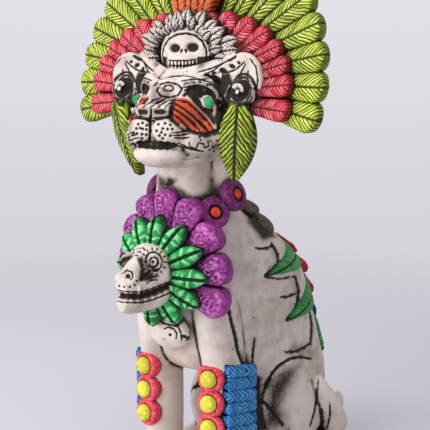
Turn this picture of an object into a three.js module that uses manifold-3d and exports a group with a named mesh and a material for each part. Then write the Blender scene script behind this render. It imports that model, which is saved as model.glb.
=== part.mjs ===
// A fired clay figure of a seated big cat in a feathered headdress, in millimetres.
// +Z is up, the figure faces -Y and its own left side is +X.
// The origin is the middle of the low base's flat underside.
// The whole figure is modelled and fired as one piece of clay, so it is one solid.

import * as THREE from 'three';
import { LoftGeometry } from 'three/addons/geometries/LoftGeometry.js';
import { mergeVertices } from 'three/addons/utils/BufferGeometryUtils.js';
import Module from 'manifold-3d';

const wasm = await Module();
wasm.setup();

const DEGREE = Math.PI / 180;
const CLAY_COLOUR = 0xd9cfc4;

// Low base
const BASE = { width: 92, front: -84, back: 100, height: 9, corner: 22, bevel: 1.5 };

// Torso and neck rings, from the base up: height, middle along Y, half length, half width
const TORSO = [
  { z: 4, y: 40, long: 40, wide: 36 },
  { z: 40, y: 45, long: 50, wide: 38 },
  { z: 62, y: 43, long: 53, wide: 38 },
  { z: 74, y: 32, long: 61, wide: 38 },
  { z: 86, y: 17, long: 74, wide: 38 },
  { z: 112, y: 6, long: 74, wide: 38 },
  { z: 140, y: -3, long: 69, wide: 37 },
  { z: 165, y: -19, long: 54, wide: 34 },
  { z: 185, y: -38, long: 34, wide: 27 },
  { z: 198, y: -45, long: 25, wide: 22 },
  { z: 212, y: -49, long: 20, wide: 19.5 },
  { z: 236, y: -51, long: 20, wide: 20 },
];
const TORSO_SIDES = 18;

// Forelegs, from the shoulder down: height, distance from the middle, place along Y, half sizes
const FORELEG = [
  { z: 142, x: 21, y: -50, wide: 8, long: 12 },
  { z: 128, x: 23.5, y: -50, wide: 12, long: 18 },
  { z: 105, x: 25.5, y: -47, wide: 12.5, long: 18 },
  { z: 84, x: 26.5, y: -44, wide: 12.5, long: 16.5 },
  { z: 55, x: 26, y: -43, wide: 12, long: 15.5 },
  { z: 28, x: 25.5, y: -44, wide: 12, long: 15.5 },
  { z: 5, x: 25.5, y: -46, wide: 13.5, long: 17 },
];
const LEG_SIDES = 10;
const PAW = { x: 25.5, y: -58, high: 25, wide: 14.5, long: 22 };
const HIND_FOOT = { x: 34, y: 12, high: 24, wide: 12.5, long: 36 };
const TOES = { count: 4, depth: 0.13 };
const PAW_SIDES = 12;
const HAUNCH = { x: 28, y: 34, z: 40, wide: 20, long: 42, high: 35, lean: -8 };

// Tail, from the rump round the left haunch to its raised tip
const TAIL = [
  { x: 4, y: 86, z: 17, radius: 11 },
  { x: 30, y: 84, z: 17, radius: 10.5 },
  { x: 45, y: 68, z: 22, radius: 9.5 },
  { x: 48, y: 56, z: 38, radius: 8 },
  { x: 47, y: 46, z: 52, radius: 6 },
  { x: 46, y: 42, z: 62, radius: 3 },
];

// Head rings, from the back of the skull to the front of the muzzle
const HEAD = [
  { y: -26, z: 254, wide: 17, high: 20 },
  { y: -33, z: 253, wide: 28, high: 30 },
  { y: -45, z: 252, wide: 34, high: 35 },
  { y: -57, z: 250, wide: 33, high: 33 },
  { y: -66, z: 248, wide: 29, high: 27 },
  { y: -75, z: 245, wide: 24, high: 20 },
  { y: -82, z: 243, wide: 19, high: 15 },
];
const HEAD_SIDES = 14;
const MUZZLE_PAD = { x: 10.5, y: -80, z: 243.5, wide: 12.5, long: 9, high: 9.5 };
const CHIN = { y: -77, z: 227.5, wide: 19, long: 13, high: 8.5 };
const NOSE = { y: -83, z: 254.5, wide: 10, long: 6, high: 5 };
const BROW = { x: 17, y: -63, z: 268, wide: 17, long: 8, high: 6, droop: 14, sweep: 24 };
const EYE = { x: 28, y: -60.5, z: 259, radius: 5.5 };
const EAR = { x: 46.5, y: -47, z: 274, wide: 16.5, high: 20, thick: 8, lean: 12 };
const SPOOL = { x: 48.2, y: -56, z: 267.5, radius: 10.5, thick: 7 };
const NAPE = { y: -36, top: 262, bottom: 196, foot: 22, spread: 20, long: 15, taper: 3, lean: 2 };

// Skull on the forehead, with its ring of small feathers
const SKULL = { y: -47.5, z: 291, wide: 15.5, long: 8.5, high: 15 };
const CREST_CORE = { y: -38, z: 303, wide: 25, long: 8, high: 24 };
const SKULL_JAW = { y: -49.5, z: 279, wide: 10, long: 7, high: 6 };
const SKULL_FEATHERS = { count: 11, from: -20, to: 200, root: 12, reach: 30, notch: 0.72, swell: 3, back: 6,
  sharp: true, stretch: 1.15, sweep: 5 };

// Headdress fan: three rings of feathers on one plane that leans back
const FAN = { y: -39.5, z: 272, lean: 9.5, cup: 3 };
const OUTER_FEATHERS = { count: 19, from: -19, to: 199, root: 8, reach: 101, notch: 0.9, swell: 3,
  back: 7 };
const RED_FEATHERS = { count: 16, from: -15, to: 195, root: 42, wide: 83, high: 54, drop: 9, notch: 0.86,
  swell: 3.5, back: 7, forward: 5, sharp: true };
const ORANGE_FEATHERS = { count: 3, from: 72, to: 108, root: 36, reach: 70, notch: 0.8, swell: 3.5, back: 10,
  forward: 8.5 };

// Feather that hangs below each ear
const HANGING_FEATHER = { top: [50, -61, 259], tip: [37, -50, 208], width: 25, thick: 8 };

// Collar of round discs
const COLLAR = { y: -40.5, radius: 31, z: 200, rise: 0.66, backRise: 0.25, turns: [60, 90, 270, 300],
  disc: 10.7, thick: 7, tip: 0.3, band: 6 };
const COLLAR_SIDES = 10;

// Serpent head on the chest, its leaves and the fan of feathers round it
const SERPENT = [
  { y: -70, z: 151, wide: 17, high: 19 },
  { y: -88, z: 151, wide: 18.5, high: 20.5 },
  { y: -97, z: 150, wide: 17, high: 19 },
  { y: -104, z: 149, wide: 14.5, high: 16 },
  { y: -108.5, z: 148, wide: 11, high: 12.5 },
  { y: -111.5, z: 147, wide: 8, high: 9 },
];
const SERPENT_MOUTH = { y: -107, z: 140.5, length: 22, height: 4.5, drop: 6 };
const SERPENT_EYE = { x: 14, y: -100, z: 161, radius: 5, thick: 6, turn: 66 };
const LEAVES = { count: 12, y: -82, z: 153, root: 13, rootLift: 7.5, reach: 37, notch: 0.5,
  swell: 6, back: 5, sweep: 8 };
const PLUMES = { count: 9, from: -22.5, to: 202.5, y: -72, z: 149, root: 14, high: 56, wide: 45, notch: 0.86,
  swell: 6, back: 7, sweep: 7 };
const CHEST_CORE = { y: -60, z: 151, wide: 36, long: 12, high: 40 };
const PENDANT = { y: -70.5, z: 112, wide: 17, high: 14, thick: 8, tip: 6 };

// Bracelets: rows of a disc, a boss and two feathers
const BRACELET = { rows: [81.5, 65, 48.5], x: 26.5, y: -57.5, disc: 8.2, discThick: 6, boss: 5.6, turn: 8,
  featherX: 36.5, featherLean: 1.5, featherFront: -56, featherBack: -24, featherHigh: 8.2,
  featherThick: 3.5 };

// Strip of leaves and feathers down the back
const BACK_LEAVES = [
  { rootZ: 152, rootTurn: 64, tipZ: 143, tipTurn: -6, high: 26 },
  { rootZ: 118, rootTurn: 64, tipZ: 108, tipTurn: 3, high: 26 },
  { rootZ: 88, rootTurn: 66, tipZ: 70, tipTurn: 44, high: 26 },
];
const BACK_FEATHERS = [
  { top: 200, low: 186, turn: 38, lifts: [12, 20, 17], rim: 0.9 },
  { top: 185, low: 164, turn: 37, lifts: [17, 23, 7], rim: 0.9 },
  { top: 163, low: 146, turn: 32, lifts: [3, 8, 7], rim: 0.7 },
  { top: 146, low: 129, turn: 31, lifts: [3, 8, 7], rim: 0.7 },
  { top: 129, low: 112, turn: 30, lifts: [3, 8, 7], rim: 0.7 },
  { top: 112, low: 92, turn: 25, lifts: [2, 7, 6], rim: 0.6 },
  { top: 92, low: 68, turn: 20, lifts: [2, 5, 4], rim: 0.6 },
];
const BACK_FEATHER_DEPTH = 4;

// A closed three.js geometry as a solid that can be joined and cut.
function solidOf(geometry) {
  const bare = new THREE.BufferGeometry();
  bare.setAttribute('position', geometry.attributes.position);
  bare.setIndex(geometry.index);
  const merged = mergeVertices(bare, 1e-4);
  const mesh = new wasm.Mesh({
    numProp: 3,
    vertProperties: new Float32Array(merged.attributes.position.array),
    triVerts: new Uint32Array(merged.index.array),
  });
  return new wasm.Manifold(mesh);
}

// The middle of a section, and the direction that its points turn about.
function middleOf(section) {
  const sum = new THREE.Vector3();
  section.forEach((point) => sum.add(point));
  return sum.divideScalar(section.length);
}

function turningOf(section) {
  const middle = middleOf(section);
  const turning = new THREE.Vector3();
  section.forEach((point, i) => {
    const next = section[(i + 1) % section.length].clone().sub(middle);
    turning.add(point.clone().sub(middle).cross(next));
  });
  return turning;
}

// A skin over a run of sections, closed at both ends, whichever way the sections turn.
function loft(sections) {
  const onward = middleOf(sections[1]).sub(middleOf(sections[0]));
  const facing = turningOf(sections[0]).dot(onward) > 0;
  const ordered = facing ? sections : sections.map((section) => section.slice().reverse());
  return new LoftGeometry(ordered, { capStart: true, capEnd: true });
}

// Points round a level oval, with corners as square as the power is over 2.
function levelOval(x, y, z, halfX, halfY, sides, power = 2) {
  return Array.from({ length: sides }, (_, i) => {
    const turn = (i + 0.5) / sides * Math.PI * 2;
    return new THREE.Vector3(
      x + halfX * rounded(Math.cos(turn), power),
      y + halfY * rounded(Math.sin(turn), power),
      z,
    );
  });
}

// Points round an upright oval that faces along Y.
function uprightOval(x, y, z, halfX, halfZ, sides, power = 2) {
  return levelOval(x, z, 0, halfX, halfZ, sides, power)
    .map((point) => new THREE.Vector3(point.x, y, point.y));
}

function rounded(value, power) {
  return Math.sign(value) * Math.abs(value) ** (2 / power);
}

// An egg shape with its own half sizes, turned about X, Y and Z in degrees.
function egg(x, y, z, halfX, halfY, halfZ, turn = [0, 0, 0], across = 8, up = 5) {
  const geometry = new THREE.SphereGeometry(1, across, up);
  geometry.rotateX(Math.PI / 2);
  geometry.scale(halfX, halfY, halfZ);
  geometry.applyMatrix4(pose([x, y, z], turn));
  return solidOf(geometry);
}

// A round button that faces its own -Y. The profile is [radius, height] from its rim to its middle.
function button(profile, sides = 10) {
  const points = [[0, 0], ...profile].map(([radius, height]) => new THREE.Vector2(radius, height));
  return new THREE.LatheGeometry(points, sides).rotateX(Math.PI);
}

function pose(place, turn) {
  const angles = new THREE.Euler(turn[0] * DEGREE, turn[1] * DEGREE, turn[2] * DEGREE, 'ZYX');
  const rotation = new THREE.Quaternion().setFromEuler(angles);
  return new THREE.Matrix4().compose(new THREE.Vector3(...place), rotation, new THREE.Vector3(1, 1, 1));
}

// A frame at a place, whose own Z runs along the length and whose own -Y faces the front.
function featherFrame(place, along, front) {
  const z = along.clone().normalize();
  const x = new THREE.Vector3().crossVectors(z, front).normalize();
  const y = new THREE.Vector3().crossVectors(z, x);
  return new THREE.Matrix4().makeBasis(x, y, z).setPosition(place);
}

// Half width of a feather with a round end, as a share of its widest, from root 0 to tip 1.
function roundEnd(t) {
  const root = 0.5 + 0.5 * Math.sin(Math.PI / 2 * Math.min(1, t / 0.62));
  const past = Math.max(0, (t - 0.62) / 0.4);
  return root * Math.sqrt(1 - past * past);
}

// Half width of a pointed leaf.
function pointedEnd(t) {
  return 0.12 + 0.88 * Math.sin(Math.PI * t ** 0.85) ** 0.8;
}

// A feather or leaf along its own Z: two swelling halves with a valley on the quill line.
function feather({ length, width, thick, outline = roundEnd, steps = 5, bow = 0 }) {
  const sections = [];
  for (let i = 0; i <= steps; i += 1) {
    const t = i / steps;
    const half = width / 2 * outline(t);
    const swell = thick * (0.55 + 0.25 * Math.sin(Math.PI * t)) * Math.min(1, half / width * 4);
    const z = length * t;
    const y = -bow * t * t;
    sections.push([
      new THREE.Vector3(-half, y, z),
      new THREE.Vector3(-half * 0.5, y - swell, z),
      new THREE.Vector3(0, y - swell * 0.6, z),
      new THREE.Vector3(half * 0.5, y - swell, z),
      new THREE.Vector3(half, y, z),
      new THREE.Vector3(0, y + thick * 0.35, z),
    ]);
  }
  return loft(sections);
}

// The same feather as a solid, set in a frame.
function placedFeather(options, frame) {
  return solidOf(feather(options).applyMatrix4(frame));
}

// Shares of a feather's own width where its surface is drawn, with its reach and its height there.
function featherStations(notch, sharp) {
  if (sharp) {
    return [{ across: 0, reach: notch, height: 0.15 }, { across: 0.5, reach: 1, height: 1 }];
  }
  return [
    { across: 0, reach: notch, height: 0.15 },
    { across: 0.32, reach: 1, height: 1 },
    { across: 0.68, reach: 1, height: 1 },
  ];
}

// Where each feather of an arc is drawn: its turn in radians, its reach and its height.
function arcStations(arc, closed) {
  const pitch = (arc.to - arc.from) / arc.count;
  const stations = Array.from({ length: arc.count }, (_, i) => featherStations(arc.notch, arc.sharp)
    .map((station) => ({ ...station, turn: (arc.from + (i + station.across) * pitch) * DEGREE }))).flat();
  const last = { ...featherStations(arc.notch)[0], turn: arc.to * DEGREE };
  return closed ? stations : [...stations, last];
}

// An arc of feathers side by side as one fluted solid. The place function takes a share of
// the reach from 0 to 1, a turn and a height forward.
function featherArc(arc, rootShare, place) {
  return solidOf(loft(arcStations(arc, false).map((station) => {
    const rise = arc.swell * station.height;
    const point = (share, height) => place(station.reach * share, station.turn, height);
    return [
      place(rootShare, station.turn, -arc.back),
      place(rootShare, station.turn, rise * 0.3),
      point(0.72, rise),
      point(1, rise * 0.35 - 1),
      point(1, -arc.back),
    ];
  })));
}

function join(solids) {
  return solids.reduce((whole, solid) => whole.add(solid));
}

// Both a solid and its mirror image across the middle plane.
function bothSides(make) {
  return [make(1), make(-1)];
}

// The torso's ring at a height, between the rings that are listed.
function torsoAt(z) {
  const above = TORSO.findIndex((ring) => ring.z >= z);
  const high = TORSO[Math.max(1, above)];
  const low = TORSO[Math.max(1, above) - 1];
  const share = (z - low.z) / (high.z - low.z);
  const mix = (key) => low[key] + (high[key] - low[key]) * share;
  return { y: mix('y'), long: mix('long'), wide: mix('wide') };
}

// A point on the torso. The turn is 0 at its left side and 90 degrees at the back.
function torsoPoint(z, turn, out = 0) {
  const ring = torsoAt(z);
  const angle = turn * DEGREE;
  return new THREE.Vector3(
    (ring.wide + out) * Math.cos(angle),
    ring.y + (ring.long + out) * Math.sin(angle),
    z,
  );
}

function base() {
  const outline = new THREE.Shape();
  const halfX = BASE.width / 2;
  const r = BASE.corner;
  outline.moveTo(-halfX + r, BASE.front);
  outline.lineTo(halfX - r, BASE.front);
  outline.absarc(halfX - r, BASE.front + r, r, -Math.PI / 2, 0);
  outline.lineTo(halfX, BASE.back - r);
  outline.absarc(halfX - r, BASE.back - r, r, 0, Math.PI / 2);
  outline.lineTo(-halfX + r, BASE.back);
  outline.absarc(-halfX + r, BASE.back - r, r, Math.PI / 2, Math.PI);
  outline.lineTo(-halfX, BASE.front + r);
  outline.absarc(-halfX + r, BASE.front + r, r, Math.PI, Math.PI * 1.5);
  const slab = new THREE.ExtrudeGeometry(outline, {
    depth: BASE.height - BASE.bevel * 2,
    bevelThickness: BASE.bevel,
    bevelSize: BASE.bevel,
    bevelOffset: -BASE.bevel,
    bevelSegments: 1,
    curveSegments: 4,
  });
  slab.translate(0, 0, BASE.bevel);
  return solidOf(slab);
}

function torso() {
  const ovals = TORSO.map((ring) => levelOval(0, ring.y, ring.z, ring.wide, ring.long, TORSO_SIDES, 2.1));
  return solidOf(loft(ovals));
}

function foreleg(side) {
  const ovals = FORELEG.map(({ x, y, z, wide, long }) => levelOval(side * x, y, z, wide, long, LEG_SIDES));
  return solidOf(loft(ovals));
}

// A paw: one rounded mass, with toes pressed in along its front.
function paw(size, side) {
  const levels = [[0, 0.94], [0.3, 1], [0.7, 0.86], [1, 0.5]];
  return solidOf(loft(levels.map(([up, share]) => Array.from({ length: PAW_SIDES }, (_, i) => {
    const turn = i / PAW_SIDES * Math.PI * 2;
    const front = Math.max(0, -Math.sin(turn));
    const groove = 1 - TOES.depth * front * (0.5 - 0.5 * Math.cos(turn * TOES.count * 2));
    return new THREE.Vector3(
      side * size.x + size.wide * share * groove * Math.cos(turn),
      size.y + size.long * share * groove * Math.sin(turn),
      size.high * up,
    );
  }))));
}

function haunch(side) {
  return egg(side * HAUNCH.x, HAUNCH.y, HAUNCH.z, HAUNCH.wide, HAUNCH.long, HAUNCH.high,
    [HAUNCH.lean, 0, 0], 10, 7);
}

function tail() {
  const points = TAIL.map((stop) => new THREE.Vector3(stop.x, stop.y, stop.z));
  const path = new THREE.CatmullRomCurve3(points);
  const steps = 9;
  const frames = path.computeFrenetFrames(steps);
  const sections = [];
  for (let i = 0; i <= steps; i += 1) {
    const middle = path.getPointAt(i / steps);
    const stop = path.getUtoTmapping(i / steps) * (TAIL.length - 1);
    const low = Math.min(TAIL.length - 2, Math.floor(stop));
    const radius = THREE.MathUtils.lerp(TAIL[low].radius, TAIL[low + 1].radius, stop - low);
    sections.push(Array.from({ length: 8 }, (_, j) => {
      const turn = j / 8 * Math.PI * 2;
      return middle.clone()
        .addScaledVector(frames.normals[i], radius * Math.cos(turn))
        .addScaledVector(frames.binormals[i], radius * Math.sin(turn));
    }));
  }
  return solidOf(loft(sections));
}

function head() {
  const ovals = HEAD.map((ring) => uprightOval(0, ring.y, ring.z, ring.wide, ring.high, HEAD_SIDES, 2.2));
  const solids = [
    solidOf(loft(ovals)),
    egg(0, CHIN.y, CHIN.z, CHIN.wide, CHIN.long, CHIN.high),
    egg(0, NOSE.y, NOSE.z, NOSE.wide, NOSE.long, NOSE.high, [0, 0, 0], 6, 4),
    ...bothSides((side) => egg(side * MUZZLE_PAD.x, MUZZLE_PAD.y, MUZZLE_PAD.z, MUZZLE_PAD.wide,
      MUZZLE_PAD.long, MUZZLE_PAD.high, [0, 0, 0], 7, 5)),
    ...bothSides((side) => egg(side * BROW.x, BROW.y, BROW.z, BROW.wide, BROW.long, BROW.high,
      [0, side * BROW.droop, side * -BROW.sweep], 6, 5)),
    ...bothSides((side) => egg(side * EYE.x, EYE.y, EYE.z, EYE.radius, EYE.radius, EYE.radius,
      [0, 0, 0], 6, 4)),
  ];
  return join(solids);
}

// A cupped ear with a round spool in it.
function ear(side) {
  const lean = [0, side * EAR.lean, 0];
  const shell = egg(side * EAR.x, EAR.y, EAR.z, EAR.wide, EAR.thick, EAR.high, lean, 10, 6);
  const hollow = egg(side * EAR.x, EAR.y - EAR.thick * 1.15, EAR.z + 2, EAR.wide * 0.7, EAR.thick,
    EAR.high * 0.72, [0, side * EAR.lean, 0], 7, 4);
  const spool = button([[SPOOL.radius, 0], [SPOOL.radius, SPOOL.thick], [0, SPOOL.thick]], 9);
  spool.applyMatrix4(pose([side * SPOOL.x, SPOOL.y + SPOOL.thick / 2, SPOOL.z], [0, 0, side * 10]));
  return shell.subtract(hollow).add(solidOf(spool));
}

// The mass of clay behind the head that carries the fan and the hanging feathers.
function nape() {
  const sections = [];
  const steps = 4;
  for (let i = 0; i <= steps; i += 1) {
    const share = i / steps;
    const z = THREE.MathUtils.lerp(NAPE.bottom, NAPE.top, share);
    const wide = NAPE.foot + NAPE.spread * Math.sin(Math.PI / 2 * share);
    const long = NAPE.long - NAPE.taper * share;
    sections.push(levelOval(0, NAPE.y - NAPE.lean * share, z, wide, long, 12, 2.6));
  }
  return solidOf(loft(sections));
}

function forehead() {
  const around = (share, turn, height) => new THREE.Vector3(
    SKULL_FEATHERS.reach * share * Math.cos(turn) * SKULL_FEATHERS.stretch,
    SKULL.y + SKULL_FEATHERS.sweep * share - height,
    SKULL.z - 1 + SKULL_FEATHERS.reach * share * Math.sin(turn),
  );
  return join([
    egg(0, SKULL.y, SKULL.z, SKULL.wide, SKULL.long, SKULL.high, [0, 0, 0], 8, 5),
    egg(0, SKULL_JAW.y, SKULL_JAW.z, SKULL_JAW.wide, SKULL_JAW.long, SKULL_JAW.high, [0, 0, 0], 6, 4),
    featherArc(SKULL_FEATHERS, SKULL_FEATHERS.root / SKULL_FEATHERS.reach, around),
    egg(0, CREST_CORE.y, CREST_CORE.z, CREST_CORE.wide, CREST_CORE.long, CREST_CORE.high, [0, 0, 0], 6, 4),
  ]);
}

// A point on the fan, at a distance across and up from its middle.
function fanPoint(across, up, forward) {
  const back = Math.tan(FAN.lean * DEGREE) * up - FAN.cup * (across / OUTER_FEATHERS.reach) ** 2;
  return new THREE.Vector3(across, FAN.y + back - forward, FAN.z + up);
}

// The fan of feathers: a wide outer ring, a flatter red ring on it and three orange ones on top.
function headdress() {
  const round = (arc, forward) => featherArc(arc, arc.root / arc.reach, (share, turn, height) => fanPoint(
    arc.reach * share * Math.cos(turn),
    arc.reach * share * Math.sin(turn),
    forward + height,
  ));
  const red = RED_FEATHERS;
  const oval = featherArc(red, red.root / red.wide, (share, turn, height) => fanPoint(
    red.wide * share * rounded(Math.cos(turn), 2.3),
    red.high * share * rounded(Math.sin(turn), 2.3) - red.drop,
    red.forward + height,
  ));
  return join([round(OUTER_FEATHERS, 0), oval, round(ORANGE_FEATHERS, ORANGE_FEATHERS.forward)]);
}

function hangingFeather(side) {
  const mirror = new THREE.Vector3(side, 1, 1);
  const top = new THREE.Vector3(...HANGING_FEATHER.top).multiply(mirror);
  const tip = new THREE.Vector3(...HANGING_FEATHER.tip).multiply(mirror);
  const along = tip.clone().sub(top);
  const front = new THREE.Vector3(side * 0.34, -0.94, 0);
  return placedFeather({
    length: along.length(), width: HANGING_FEATHER.width, thick: HANGING_FEATHER.thick,
    outline: pointedEnd, steps: 6, bow: -2,
  }, featherFrame(top, along, front));
}

function collarHeight(y) {
  const behind = y - COLLAR.y;
  return COLLAR.z + behind * (behind < 0 ? COLLAR.rise : COLLAR.backRise);
}

// Round discs on a band that lies on the shoulders.
function collar() {
  const solids = [];
  for (const degrees of COLLAR.turns) {
    const turn = degrees * DEGREE;
    const out = new THREE.Vector3(Math.sin(turn), -Math.cos(turn), 0);
    const y = COLLAR.y + COLLAR.radius * out.y;
    const disc = button([[COLLAR.disc, 0], [COLLAR.disc * 0.9, COLLAR.thick], [0, COLLAR.thick + 1]], 7);
    const place = new THREE.Vector3(COLLAR.radius * out.x, y, collarHeight(y));
    const front = out.clone().add(new THREE.Vector3(0, 0, COLLAR.tip));
    disc.translate(0, COLLAR.thick / 2, 0);
    disc.applyMatrix4(featherFrame(place, new THREE.Vector3(0, 0, 1), front));
    solids.push(solidOf(disc));
  }
  const band = (radius, lift) => Array.from({ length: COLLAR_SIDES }, (_, i) => {
    const turn = i / COLLAR_SIDES * Math.PI * 2;
    const y = COLLAR.y - radius * Math.cos(turn);
    return new THREE.Vector3(radius * Math.sin(turn), y, collarHeight(y) + lift);
  });
  solids.push(solidOf(loft([
    band(COLLAR.radius - 4, -COLLAR.band * 2.2),
    band(COLLAR.radius - 2, -COLLAR.band * 0.6),
    band(COLLAR.radius - 5, COLLAR.band * 0.5),
    band(COLLAR.radius - 13, COLLAR.band),
  ])));
  return join(solids);
}

function serpentHead() {
  const ovals = SERPENT.map((ring) => uprightOval(0, ring.y, ring.z, ring.wide, ring.high, 10, 2.2));
  const gap = new THREE.BoxGeometry(60, SERPENT_MOUTH.length, SERPENT_MOUTH.height);
  gap.applyMatrix4(pose([0, SERPENT_MOUTH.y, SERPENT_MOUTH.z], [SERPENT_MOUTH.drop, 0, 0]));
  const solids = [solidOf(loft(ovals)).subtract(solidOf(gap))];
  solids.push(...bothSides((side) => {
    const eye = button([[SERPENT_EYE.radius, 0], [SERPENT_EYE.radius, SERPENT_EYE.thick],
      [0, SERPENT_EYE.thick + 1]], 6);
    eye.translate(0, SERPENT_EYE.thick * 0.6, 0);
    const place = [side * SERPENT_EYE.x, SERPENT_EYE.y, SERPENT_EYE.z];
    eye.applyMatrix4(pose(place, [0, 0, side * SERPENT_EYE.turn]));
    return solidOf(eye);
  }));
  const stations = arcStations({ ...LEAVES, from: 0, to: 360 }, true);
  const ring = (share, forward, flat) => stations.map((station) => {
    const reach = LEAVES.root + (LEAVES.reach * station.reach - LEAVES.root) * share;
    const height = flat ? forward : forward * station.height;
    return new THREE.Vector3(
      reach * Math.cos(station.turn),
      LEAVES.y - height + LEAVES.sweep * share * Math.abs(Math.cos(station.turn)),
      LEAVES.z + reach * Math.sin(station.turn),
    );
  });
  solids.push(solidOf(loft([
    ring(0, LEAVES.rootLift, true),
    ring(0.55, LEAVES.swell, false),
    ring(1, 0, true),
    ring(0.9, -LEAVES.back, true),
  ])));
  return join(solids);
}

// The fan of plumes behind the serpent head, each swelling to a boss near its tip.
function chestFan() {
  const around = (share, turn, height) => new THREE.Vector3(
    PLUMES.wide * share * Math.cos(turn),
    PLUMES.y + PLUMES.sweep * share * Math.abs(Math.cos(turn)) - height,
    PLUMES.z + PLUMES.high * share * Math.sin(turn),
  );
  return join([
    egg(0, CHEST_CORE.y, CHEST_CORE.z, CHEST_CORE.wide, CHEST_CORE.long, CHEST_CORE.high),
    featherArc(PLUMES, PLUMES.root / PLUMES.high, around),
  ]);
}

function pendant() {
  const plate = button([[1, 0], [0.9, PENDANT.thick], [0, PENDANT.thick + 1]], 12);
  plate.scale(PENDANT.wide, 1, PENDANT.high);
  plate.applyMatrix4(pose([0, PENDANT.y + PENDANT.thick / 2, PENDANT.z], [PENDANT.tip, 0, 0]));
  return solidOf(plate);
}

// Three rows on each foreleg: a disc with a boss in front, and a double feather on the outer side.
function bracelets(side) {
  const b = BRACELET;
  return join(b.rows.flatMap((z) => {
    const disc = button([[b.disc, 0], [b.disc, b.discThick], [b.boss, b.discThick],
      [b.boss * 0.8, b.discThick + 3], [0, b.discThick + 4.5]], 7);
    disc.applyMatrix4(pose([side * b.x, b.y, z], [0, 0, side * b.turn]));
    const stations = [[0, 0.9], [0.5, 1], [1, 0.6]];
    const feathers = loft(stations.map(([along, share]) => {
      const y = THREE.MathUtils.lerp(b.featherFront, b.featherBack, along);
      const x = b.featherX + b.featherLean * along;
      const half = b.featherHigh * share;
      return [[-3, -0.95], [b.featherThick, -0.55], [b.featherThick * 0.4, 0],
        [b.featherThick, 0.55], [-3, 0.95]]
        .map(([out, up]) => new THREE.Vector3(side * (x + out), y, z + half * up));
    }));
    return [solidOf(disc), solidOf(feathers)];
  }));
}

// A pointed leaf that lies on the torso, from the strip down the back to its tip on the flank.
function backLeaf(leaf, side) {
  const steps = 3;
  const sections = [];
  for (let i = 0; i <= steps; i += 1) {
    const t = i / steps;
    const turn = THREE.MathUtils.lerp(leaf.rootTurn, leaf.tipTurn, t);
    const low = THREE.MathUtils.lerp(leaf.rootZ - leaf.high * 0.5, leaf.tipZ - 1, t);
    const high = THREE.MathUtils.lerp(leaf.rootZ + leaf.high * 0.5, leaf.tipZ + 1, t);
    const middle = (low + high) / 2;
    const points = [
      torsoPoint(low, turn, -4), torsoPoint(low, turn, 2.5), torsoPoint(middle, turn, 4),
      torsoPoint(high, turn, 2.5), torsoPoint(high, turn, -4),
    ];
    sections.push(points.map((point) => new THREE.Vector3(side * point.x, point.y, point.z)));
  }
  return solidOf(loft(sections));
}

// Feathers that overlap like shingles down the middle of the back, as one stepped solid.
function backFeathers() {
  const places = [{ share: 0.02, spread: 0.8 }, { share: 0.5, spread: 1 }, { share: 0.97, spread: 0.72 }];
  const sections = BACK_FEATHERS.flatMap((row) => places.map(({ share, spread }, i) => {
    const z = THREE.MathUtils.lerp(row.top, row.low, share);
    const half = row.turn * spread;
    const out = row.lifts[i];
    const rim = out * row.rim;
    return [[-1, -BACK_FEATHER_DEPTH], [-1, rim], [0, out], [1, rim], [1, -BACK_FEATHER_DEPTH]]
      .map(([across, height]) => torsoPoint(z, 90 + half * across, height));
  }));
  return solidOf(loft(sections));
}

function backStrip() {
  return join([
    ...BACK_LEAVES.flatMap((leaf) => bothSides((side) => backLeaf(leaf, side))),
    backFeathers(),
  ]);
}

function clayFigure() {
  const whole = join([
    torso(),
    base(),
    ...bothSides(foreleg),
    ...bothSides((side) => paw(PAW, side)),
    ...bothSides((side) => paw(HIND_FOOT, side)),
    ...bothSides(haunch),
    tail(),
    head(),
    nape(),
    ...bothSides(ear),
    forehead(),
    headdress(),
    ...bothSides(hangingFeather),
    collar(),
    chestFan(),
    serpentHead(),
    pendant(),
    ...bothSides(bracelets),
    backStrip(),
  ]);
  // The paws and the torso start inside the base, and all is cut level with its underside.
  const below = new THREE.BoxGeometry(300, 300, 60);
  below.translate(0, 0, -30);
  return whole.subtract(solidOf(below));
}

function meshOf(name, solid, colour) {
  const surface = solid.getMesh();
  const geometry = new THREE.BufferGeometry();
  geometry.setAttribute('position', new THREE.BufferAttribute(new Float32Array(surface.vertProperties), 3));
  geometry.setIndex(new THREE.BufferAttribute(new Uint32Array(surface.triVerts), 1));
  geometry.computeVertexNormals();
  const clay = new THREE.MeshStandardMaterial({ color: colour, roughness: 0.75, metalness: 0 });
  const mesh = new THREE.Mesh(geometry, clay);
  mesh.name = name;
  return mesh;
}

const figure = new THREE.Group();
figure.add(meshOf('clay_figure', clayFigure(), CLAY_COLOUR));

export default figure;
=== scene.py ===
import math

import bpy
import numpy as np
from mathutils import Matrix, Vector


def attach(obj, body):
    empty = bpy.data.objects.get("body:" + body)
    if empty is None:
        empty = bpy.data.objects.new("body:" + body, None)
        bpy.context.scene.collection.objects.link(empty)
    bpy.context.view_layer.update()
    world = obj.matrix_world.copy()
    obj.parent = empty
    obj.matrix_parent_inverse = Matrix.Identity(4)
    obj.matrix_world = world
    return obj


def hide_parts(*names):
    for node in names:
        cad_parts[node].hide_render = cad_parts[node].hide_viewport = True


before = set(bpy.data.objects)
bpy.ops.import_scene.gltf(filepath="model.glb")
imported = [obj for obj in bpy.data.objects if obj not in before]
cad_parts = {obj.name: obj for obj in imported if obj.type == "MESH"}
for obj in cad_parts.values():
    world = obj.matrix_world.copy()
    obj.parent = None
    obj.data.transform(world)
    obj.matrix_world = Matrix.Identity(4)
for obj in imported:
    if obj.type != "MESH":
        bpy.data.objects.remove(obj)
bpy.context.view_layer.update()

# The body, legs, feet, tail and low base are one mass of pale clay, built hollow by hand and
# smoothed together before firing. Lines are cut in the damp clay, and a dark brown wash is
# wiped over the fired piece, so that it stays in the cuts, creases and pits.
MM = 0.001
LEFT, RIGHT = 1, -1
FRONT_VIEW = (0, -1, 0)

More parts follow.
